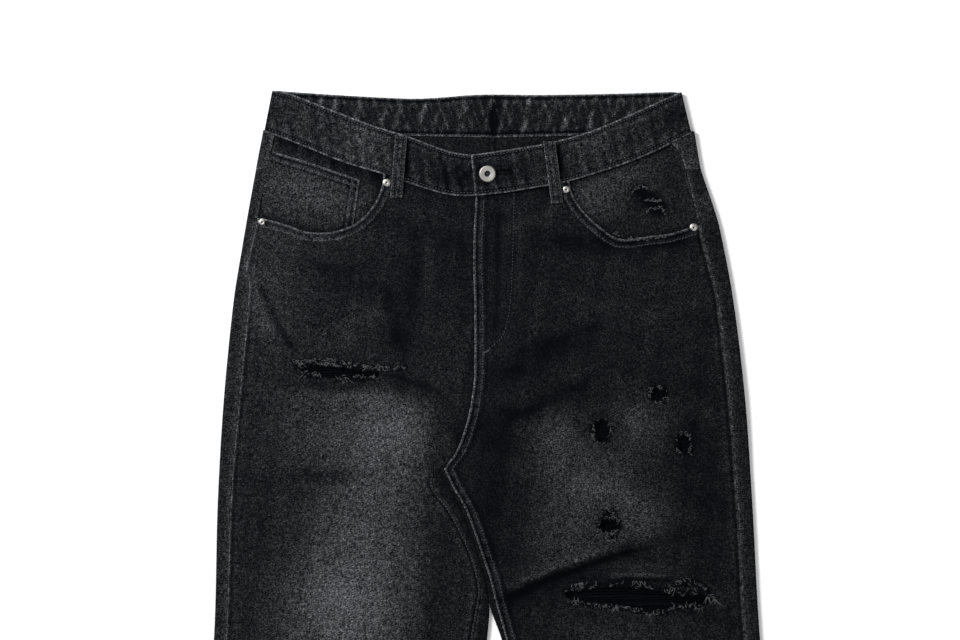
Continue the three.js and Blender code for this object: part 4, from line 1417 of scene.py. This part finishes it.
class JEANS_OT_stitches(bpy.types.Operator):
    """Rows of topstitching along the pocket mouths, fly, coin and back pockets, waistband, loops and some
    seams
    """
    bl_idname = "jeans.stitches"
    bl_label = "Topstitching"

    def execute(self, context):
        template = stitch_template()
        for side in SIDES:
            groups = {
                f"front_stitches_{side}": self.front_rows(side),
                f"band_stitches_{side}": self.band_rows(side),
                f"seam_stitches_{side}": self.seam_rows(side),
                f"back_stitches_{side}": self.back_rows(side),
            }
            for name, places in groups.items():
                copies(name, template, places, "sewing_thread")
        bpy.data.meshes.remove(template)
        return {"FINISHED"}

    @staticmethod
    def on_front(side, lift=0.0):
        return lambda x, down: front_surface(side, x, down) + DENIM / 2 + lift - THREAD_SINK

    def front_rows(self, side):
        rows = []
        mouth = mouth_line(side)
        rows += row_of_stitches(offset_line(mouth, OUT[side] * 7.6), self.on_front(side, 0.75), 1)
        rows += row_of_stitches(offset_line(mouth, OUT[side] * 1.6), self.on_front(side, 0.7), 2)
        if side == "right":
            at = np.arange(WAIST_AT_FLY + 3, HEM - 3, 3.0)
            for k, across in enumerate(FLY_ROW_OFFSET):
                line = pairs(inner_edge("right", at) + across, at)
                rows += row_of_stitches(line, self.on_front(side, 0.8), 3 + k)
            rows += row_of_stitches(smooth_line(J_STITCH), self.on_front(side, -0.13), 5)
            rows += self.bar_tack(4, 261, -0.5, self.on_front(side, 0.5))
        else:
            at = np.arange(CROTCH + 12, HEM - 3, 3.0)
            line = pairs(inner_edge("left", at) - 2.0, at)
            rows += row_of_stitches(line, self.on_front(side, 0.5), 6)
            coin_top, coin_side = smooth_line(COIN_TOP), smooth_line(COIN_SIDE)

            def on_coin(x, down):
                return FRONT_SEAT + 0.5 * rumple(x, down) + DENIM / 2 - THREAD_SINK

            below_mouth = [*mouth, (-260, 300), (0, 300)]
            for k, across in enumerate((1.8, 8.0)):
                top = [p for p in offset_line(coin_top, across) if -203 < p[0] < -121 - across]
                rows += row_of_stitches(top, on_coin, 7 + k)
                x, down = np.array(offset_line(coin_side, across)).T
                seen = ~inside(below_mouth, x, down + 8)
                rows += row_of_stitches(pairs(x[seen], down[seen]), on_coin, 9 + k)
        return rows

    @staticmethod
    def bar_tack(x, down, turn, height):
        """A dense bar of stitches, 12 mm long, that locks a seam's end"""
        places = []
        for k in range(14):
            shift = (k - 6.5) * 0.85
            px, pd = x + shift * math.cos(turn), down + shift * math.sin(turn)
            places.append(stitch_at(px, pd, float(height(np.array(px), np.array(pd))), turn + math.pi / 2,
                                    900 + k))
        return places

    @staticmethod
    def band_rows(side):
        rows = []
        for seed, (line, height) in ((20, band_line(side, 0.075)), (21, band_line(side, 0.92)),
                                     (24, inside_band_line(side, 0.95))):
            rows += row_of_stitches(line, lambda x, down: height(x, down) + BAND / 2 - THREAD_SINK, seed)
        return rows

    @staticmethod
    def seam_rows(side):
        """The rows on the yoke beside its seam, on the folded strip, and the loops' two rows each"""
        rows = []
        for top, foot in [each[2:] for each in FRONT_LOOPS if each[1] == side]:
            for share in (0.2, 0.8):
                t = np.linspace(0.02, 0.98, 40)
                middle, down = mix(top[0], foot[0], t), mix(top[1], foot[1], t)
                z = loop_surface(side, middle, down, t) + DENIM / 2 + 0.1
                line = pairs(middle + (share - 0.5) * LOOP_WIDTH, down)
                rows += row_of_stitches(line, lambda x, d: np.interp(d, down, z), 30)
        back = np.linspace(0.004, STRIP - 0.004, 24)
        at = np.full_like(back, YOKE_AT_SEAM)
        x, down, z = back_point(side, back, at, JEANS_OT_backs.inner_rows(side, at))
        for k, above in enumerate(SEAM_ROWS):
            line = pairs(x, down + 0.01 * x - above)
            rows += row_of_stitches(line, height_by(x, z + DENIM / 2), 33 + k)
        return rows

    @staticmethod
    def back_rows(side):
        """Rows on the underside: pockets, yoke and seat seam. Thread there lies level with the floor"""
        rows = []
        out, centre = OUT[side], POCKET_CENTRE[side]
        shape = [(centre - out * x, down) for x, down in BACK_POCKET + BACK_POCKET[:1]]

        def on_floor(x, down):
            return 0 * x + 0.25

        for k, share in enumerate((0.97, 0.89)):
            line = [(mix(centre, x, share), mix(225, down, share)) for x, down in shape]
            rows += row_of_stitches(line, on_floor, 40 + k)
        across = np.linspace(TURN + 0.02, UNDER - 0.02, 80)
        at = np.full_like(across, YOKE_AT_SEAM)
        x, down, _ = back_point(side, across, at, JEANS_OT_backs.inner_rows(side, at))
        for k, below in enumerate(SEAM_ROWS):
            line = pairs(x, down + GAP + below)
            rows += row_of_stitches(line, on_floor, 42 + k)
        if side == "left":
            at = np.arange(YOKE_AT_SEAT + 8, 368, 3.0)
            for k, aside in enumerate(SEAM_ROWS):
                line = pairs(seat_seam(at) - GAP / 2 - aside, at)
                rows += row_of_stitches(line, on_floor, 44 + k)
        return rows


# ---- frayed yarns ---------------------------------------------------------------------------------------

def strand_template(sides=5, steps=7):
    """A closed tube one unit long, ready to be bent along a path"""
    bm = bmesh.new()
    bmesh.ops.create_cone(bm, cap_ends=True, segments=sides, radius1=1, radius2=1, depth=1)
    upright = [edge for edge in bm.edges if abs(edge.verts[0].co.z - edge.verts[1].co.z) > 0.5]
    bmesh.ops.subdivide_edges(bm, edges=upright, cuts=steps - 1, use_grid_fill=True)
    return to_mesh(bm, "strand_template")


def strand(points, radius, taper=0.45):
    """Bends the template along (x, down, z) points in mm"""
    points = np.array(points, float)
    at = np.linspace(0, 1, len(points))

    def place(base):
        t = base[:, 2] + 0.5
        spot = np.stack([np.interp(t, at, points[:, i]) for i in range(3)], axis=-1)
        near = np.stack([np.interp(np.clip(t + 0.06, 0, 1), at, points[:, i]) for i in range(3)], axis=-1)
        back = np.stack([np.interp(np.clip(t - 0.06, 0, 1), at, points[:, i]) for i in range(3)], axis=-1)
        run = near - back
        run /= np.maximum(np.linalg.norm(run, axis=1, keepdims=True), 1e-6)
        first = np.cross(run, [0.1, 0.2, 1.0])
        first /= np.maximum(np.linalg.norm(first, axis=1, keepdims=True), 1e-6)
        second = np.cross(run, first)
        thick = (radius * (1 - taper * t))[:, None]
        spot = spot + thick * (base[:, :1] * first - base[:, 1:2] * second)
        return to_frame(spot[:, 0], spot[:, 1], spot[:, 2])
    return place


def yarn_end(draw, x, down, z, reach, lean):
    """One yarn end that starts at a torn edge and runs out by reach (down is positive)"""
    points = []
    bend = draw.uniform(-0.5, 0.5)
    lift = draw.uniform(0.2, 0.9)
    for k in range(5):
        t = k / 4
        points.append((x + lean * reach * t + bend * reach * t * t + draw.uniform(-0.25, 0.25),
                       down + reach * t, z + lift * math.sin(math.pi * t) - 0.3 * t))
    return strand(points, sizes().yarn / MM / 2 * draw.uniform(0.6, 1.3))


def fringe(draw, line, height, count, reach, spread=0.3, clusters=0.0):
    """Yarn ends hanging from a line, in uneven clumps"""
    places = []
    run = smooth_line(line, 1.0)
    middles = [draw.random() for _ in range(max(3, count // 9))]
    for _ in range(count):
        t = draw.random()
        if draw.random() < clusters:
            t = min(0.999, max(0, draw.choice(middles) + draw.gauss(0, 0.02)))
        x, down = run[int(t * (len(run) - 1))]
        z = float(height(np.array(x), np.array(down))) + DENIM / 2
        length = reach * draw.uniform(0.45, 1.15)
        x = x + draw.uniform(-0.6, 0.6)
        places.append(yarn_end(draw, x, down, z, length, draw.uniform(-spread, spread)))
    return places


def curls(draw, line, height, count, size):
    """Yarns curled back on themselves along a torn edge, each a small open loop"""
    places = []
    run = smooth_line(line, 1.0)
    for _ in range(count):
        x, down = run[int(draw.random() * (len(run) - 1))]
        z = float(height(np.array(x), np.array(down))) + DENIM / 2
        turn, start = draw.uniform(1.6, 4.4) * draw.choice((-1, 1)), draw.uniform(0, 2 * math.pi)
        reach, flat = size * draw.uniform(0.4, 1.1), draw.uniform(0.4, 1)
        x, down = x + draw.uniform(-1, 1), down + draw.uniform(-1.2, 1.2)
        points = [(x + reach * math.cos(start + turn * t), down + reach * flat * math.sin(start + turn * t),
                   z + 0.9 * math.sin(math.pi * t)) for t in np.arange(7) / 6]
        places.append(strand(points, sizes().yarn / MM / 2 * draw.uniform(0.7, 1.3), taper=0.2))
    return places


def weft_threads(draw, left, right, top, foot, z, count):
    """Bare weft threads that cross a rip from side to side, sagging a little"""
    places = []
    for _ in range(count):
        start, end = left + draw.uniform(-2, 14), right - draw.uniform(-2, 14)
        if draw.random() < 0.5:
            cut = draw.uniform(0.25, 0.9)
            from_left = draw.random() < 0.5
            start, end = (start, mix(start, end, cut)) if from_left else (mix(end, start, cut), end)
        down = draw.uniform(top, foot)
        sway, slope = draw.uniform(-1.6, 1.6), draw.uniform(-1.2, 1.2)
        points = [(mix(start, end, k / 7), down + slope * k / 7 + sway * math.sin(math.pi * k / 7)
                   + draw.uniform(-0.2, 0.2), z + draw.uniform(-0.2, 0.2)) for k in range(8)]
        places.append(strand(points, sizes().yarn / MM / 2 * draw.uniform(0.5, 0.9), taper=0.1))
    return places


def shifted(line, down):
    return [(x, y + down) for x, y in line]


LEFT_FRAY = [(-186, 269), (-160, 268), (-133, 271), (-110, 274.5), (-92, 277), (-73, 275)]


class JEANS_OT_frays(bpy.types.Operator):
    """Loose yarns at the rips, small holes and scuffs, and dark threads across the openings"""
    bl_idname = "jeans.frays"
    bl_label = "Frayed yarns"

    def execute(self, context):
        draw = random.Random(sizes().seed)
        template = strand_template()

        def left(x, down):
            return front_surface("left", x, down)

        def right(x, down):
            return front_surface("right", x, down)

        under_left, under_right = back_height(281) + 1.2, BACK_LEG + 1.4
        pale_left = fringe(draw, LEFT_RIP_TOP, left, 56, -6, 1.1, 0.7)
        dark_left = fringe(draw, LEFT_RIP_TOP, left, 150, -6, 1.0, 0.4)
        pale_left += fringe(draw, shifted(LEFT_RIP_TOP, -3), left, 24, 4, 1.2, 0.8)
        dark_left += fringe(draw, shifted(LEFT_RIP_TOP, -1), left, 60, 4, 0.8, 0.3)
        for end in (LEFT_RIP_FOOT[:2], LEFT_RIP_FOOT[2:]):
            pale_left += fringe(draw, shifted(end, -1), left, 8, 6, 1.0, 0.6)
            dark_left += fringe(draw, end, left, 40, 5, 0.9, 0.3)
            pale_left += fringe(draw, end, left, 6, -4, 1.2, 0.5)
        pale_left += curls(draw, LEFT_FRAY, left, 100, 2.3)
        dark_left += curls(draw, LEFT_FRAY, left, 200, 2.6)
        for end in (LEFT_RIP_FOOT[:2], LEFT_RIP_FOOT[2:]):
            pale_left += curls(draw, shifted(end, -1), left, 15, 2.2)
            dark_left += curls(draw, end, left, 36, 2.4)
        dark_left += weft_threads(draw, -182, -106, 275, 285, under_left + 1, 12)
        pale_right = fringe(draw, shifted(RIGHT_RIP_TOP, -6), right, 34, 7.5, 0.7, 0.75)
        dark_right = fringe(draw, shifted(RIGHT_RIP_TOP, -5), right, 230, 8, 0.5, 0.4)
        pale_right += fringe(draw, shifted(RIGHT_RIP_FOOT, 1), right, 30, 6.5, 0.7, 0.8)
        dark_right += fringe(draw, RIGHT_RIP_FOOT, right, 170, 7, 0.6, 0.5)
        pale_right += fringe(draw, RIGHT_RIP_FOOT, right, 10, -3.5, 1.1, 0.7)
        pale_right += fringe(draw, RIGHT_RIP_TOP[-2:], right, 12, 7, 1.3, 0.5)
        pale_right += curls(draw, shifted(RIGHT_RIP_FOOT, 1.5), right, 80, 2.3)
        dark_right += curls(draw, shifted(RIGHT_RIP_FOOT, 1), right, 170, 2.5)
        pale_right += curls(draw, shifted(RIGHT_RIP_TOP, -1), right, 40, 2.1)
        dark_right += curls(draw, shifted(RIGHT_RIP_TOP, -2), right, 150, 2.5)
        dark_right += weft_threads(draw, 90, 230, 497, 515, under_right + 1, 30)
        bunch = [(190, 493), (203, 489), (216, 490), (226, 498)]
        pale_right += curls(draw, bunch, right, 26, 2.8)
        dark_right += curls(draw, bunch, right, 90, 3.6)
        scuffs = [[(152, 99), (160, 95), (171, 98)], [(156, 105), (170, 108), (182, 109)],
                  [(168, 119), (178, 116), (187, 121)]]

        def facing(x, down):
            return FACING + 0.5 * rumple(x, down)

        worn_left = [(-176, 143), (-158, 147.5), (-136, 146)]
        worn_right = [(134, 141), (150, 146), (168, 147), (188, 143)]
        pale_left += curls(draw, worn_left, left, 26, 1.5)
        pale_right += curls(draw, worn_right, right, 30, 1.5)
        for scuff in scuffs:
            pale_right += curls(draw, scuff, facing, 20, 1.8)
            dark_right += curls(draw, scuff, facing, 26, 2.6)
        for hole in SMALL_HOLES:
            ring = hole_points(*hole)
            pale_right += fringe(draw, ring[5:] + ring[:1], right, 9, 4, 1.2, 0.5)
            dark_right += fringe(draw, ring[5:] + ring[:1], right, 20, 4, 0.9, 0.3)
            pale_right += fringe(draw, ring[:6], right, 10, 4, 1.2, 0.5)
            dark_right += fringe(draw, ring[:6], right, 20, -4, 0.9, 0.3)
            pale_right += curls(draw, ring, right, 12, 1.7)
            dark_right += curls(draw, ring, right, 30, 2.2)
            x, down, half, _ = hole
            dark_right += weft_threads(draw, x - half, x + half, down - 3, down + 3, 4.2, 5)
        for name, places, material, slot in (
                ("frayed_yarns_left", pale_left, "frayed_yarn", "denim"),
                ("frayed_yarns_right", pale_right, "frayed_yarn", "denim"),
                ("dark_threads_left", dark_left, "black_yarn", "denim"),
                ("dark_threads_right", dark_right, "black_yarn", "denim")):
            copies(name, template, places, material)
        bpy.data.meshes.remove(template)
        return {"FINISHED"}


# ---- metal, zip and hidden cloth ------------------------------------------------------------------------

def turned(name, node, profile, steps, pit):
    """A turned metal piece: profile points are (share of radius, share of height) of its CAD node, and
    inside the pit (a share of the radius) the metal is painted dark as the pit's shade"""
    low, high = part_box(node)
    middle = (low + high) / 2
    radius, tall = (high.x - low.x) / 2, high.z - low.z
    bm = bmesh.new()
    verts = [bm.verts.new((middle.x + r * radius, middle.y, low.z + h * tall)) for r, h in profile]
    edges = [bm.edges.new(pair) for pair in zip(verts, verts[1:])]
    bmesh.ops.spin(bm, geom=verts + edges, cent=(middle.x, middle.y, 0), axis=(0, 0, 1), steps=steps,
                   angle=2 * math.pi, use_merge=True)
    bmesh.ops.remove_doubles(bm, verts=bm.verts[:], dist=1e-6)
    bmesh.ops.recalc_face_normals(bm, faces=bm.faces[:])
    for face in bm.faces:
        centre = face.calc_center_median()
        reach = math.hypot(centre.x - middle.x, centre.y - middle.y)
        face.material_index = int(reach < pit * radius and centre.z > low.z + 0.3 * tall)
    return link(name, to_mesh(bm, name), ["satin_nickel", "pit_shade_metal"], node)


def arc_points(middle, reach, start, end, steps):
    """Points of an arc in a profile, angles in degrees"""
    angles = np.radians(np.linspace(start, end, steps))
    return [(middle[0] + reach[0] * math.cos(a), middle[1] + reach[1] * math.sin(a)) for a in angles]


class JEANS_OT_metal(bpy.types.Operator):
    """The shank button with its dished face, and four pocket rivets"""
    bl_idname = "jeans.metal"
    bl_label = "Button and rivets"

    def execute(self, context):
        button = [(0, 0), (0.9, 0), *arc_points((0.93, 0.4), (0.07, 0.3), -60, 60, 7),
                  *arc_points((0.84, 0.82), (0.12, 0.18), 10, 90, 7), (0.66, 0.97), (0.5, 0.94), (0.4, 0.93),
                  *arc_points((0.3, 0.85), (0.06, 0.08), 60, -20, 5), (0.33, 0.5), (0.2, 0.46), (0.14, 0.6),
                  (0, 0.64)]
        turned("shank_button", "button", button, 64, 0.3)
        rivet = [(0, 0), (0.95, 0), *arc_points((0.9, 0.2), (0.1, 0.2), -60, 40, 5),
                 *arc_points((0, 0.1), (0.9, 0.9), 25, 62, 6), (0.36, 0.84), (0.24, 0.72), (0, 0.7)]
        for k in (1, 2, 3, 4):
            turned(f"pocket_rivet_{k}", f"rivet_{k}", rivet, 32, 0.16)
        return {"FINISHED"}


class JEANS_OT_fly(bpy.types.Operator):
    """The zip and fly shield, which lie hidden behind the closed fly"""
    bl_idname = "jeans.fly"
    bl_label = "Zip and fly shield"

    def execute(self, context):
        for node, material, slot in (("zip", "sewing_thread", "zip_tape"),
                                     ("fly_shield", "inside_twill_painted_shade", "denim")):
            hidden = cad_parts[node]
            hidden.data.materials.clear()
            hidden.data.materials.append(material_named(material))
        return {"FINISHED"}


# ---- stage ----------------------------------------------------------------------------------------------

CAMERA_HEIGHT = 3.0
CAMERA_DOWN = 228
FLOOR_SIZE = 6.0
FLOOR_DROP = 0.8 * MM
VIEW_WIDTH = 0.96


def aimed_light(name, place, aim, energy, size):
    """A round soft light that points at a place"""
    data = bpy.data.lights.new(name, "AREA")
    data.energy = energy
    data.shape = "DISK"
    data.size = size
    light = bpy.data.objects.new(name, data)
    light.location = place
    light.rotation_euler = (Vector(aim) - Vector(place)).to_track_quat("-Z", "Y").to_euler()
    bpy.context.scene.collection.objects.link(light)


class JEANS_OT_stage(bpy.types.Operator):
    """Plain pale floor, soft studio light and the camera straight above"""
    bl_idname = "jeans.stage"
    bl_label = "Stage"

    def execute(self, context):
        scene = context.scene
        bm = bmesh.new()
        bmesh.ops.create_grid(bm, x_segments=2, y_segments=2, size=FLOOR_SIZE / 2)
        bmesh.ops.translate(bm, verts=bm.verts[:], vec=(0, 0, -FLOOR_DROP))
        floor = bpy.data.objects.new("floor", to_mesh(bm, "floor"))
        floor.data.materials.append(material_named("floor_paper"))
        scene.collection.objects.link(floor)
        centre = (ORIGIN_X * MM, (ORIGIN_DOWN - CAMERA_DOWN) * MM, 0)
        aimed_light("key", (-1.6, 1.5, 1.8), centre, 88, 1.0)
        aimed_light("fill", (1.2, -1.0, 3.2), centre, 30, 3.0)
        world = bpy.data.worlds.new("studio")
        world.use_nodes = True
        world.node_tree.nodes["Background"].inputs[0].default_value = (1, 1, 1, 1)
        world.node_tree.nodes["Background"].inputs[1].default_value = 0.42
        scene.world = world
        data = bpy.data.cameras.new("camera")
        data.sensor_width = 36
        data.lens = data.sensor_width * CAMERA_HEIGHT / VIEW_WIDTH
        camera = bpy.data.objects.new("camera", data)
        camera.location = (centre[0], centre[1], CAMERA_HEIGHT)
        scene.collection.objects.link(camera)
        scene.camera = camera
        scene.view_settings.view_transform = "Standard"
        return {"FINISHED"}


# ---- panel and making -----------------------------------------------------------------------------------

OPERATORS = (JEANS_OT_fronts, JEANS_OT_pockets, JEANS_OT_backs, JEANS_OT_waistband,
             JEANS_OT_stitches, JEANS_OT_frays, JEANS_OT_metal, JEANS_OT_fly, JEANS_OT_stage)


class JEANS_PT_panel(bpy.types.Panel):
    """Sizes, colours and the steps of the jeans"""
    bl_idname = "JEANS_PT_panel"
    bl_label = "Jeans"
    bl_space_type = "VIEW_3D"
    bl_region_type = "UI"
    bl_category = "Jeans"

    def draw(self, context):
        for group in (context.scene.jeans_sizes, context.scene.jeans_colours):
            for name in group.__annotations__:
                self.layout.prop(group, name)
        for operator in OPERATORS:
            self.layout.operator(operator.bl_idname)


CLASSES = (JeansSizes, JeansColours, *OPERATORS, JEANS_PT_panel)


def register():
    for each in CLASSES:
        bpy.utils.register_class(each)
    bpy.types.Scene.jeans_sizes = PointerProperty(type=JeansSizes)
    bpy.types.Scene.jeans_colours = PointerProperty(type=JeansColours)


def unregister():
    del bpy.types.Scene.jeans_colours
    del bpy.types.Scene.jeans_sizes
    for each in reversed(CLASSES):
        bpy.utils.unregister_class(each)


def main():
    register()
    bpy.ops.jeans.fronts()
    bpy.ops.jeans.pockets()
    bpy.ops.jeans.backs()
    bpy.ops.jeans.waistband()
    bpy.ops.jeans.stitches()
    bpy.ops.jeans.frays()
    bpy.ops.jeans.metal()
    bpy.ops.jeans.fly()
    bpy.ops.jeans.stage()
    bpy.context.view_layer.update()


if __name__ == "__main__":
    main()
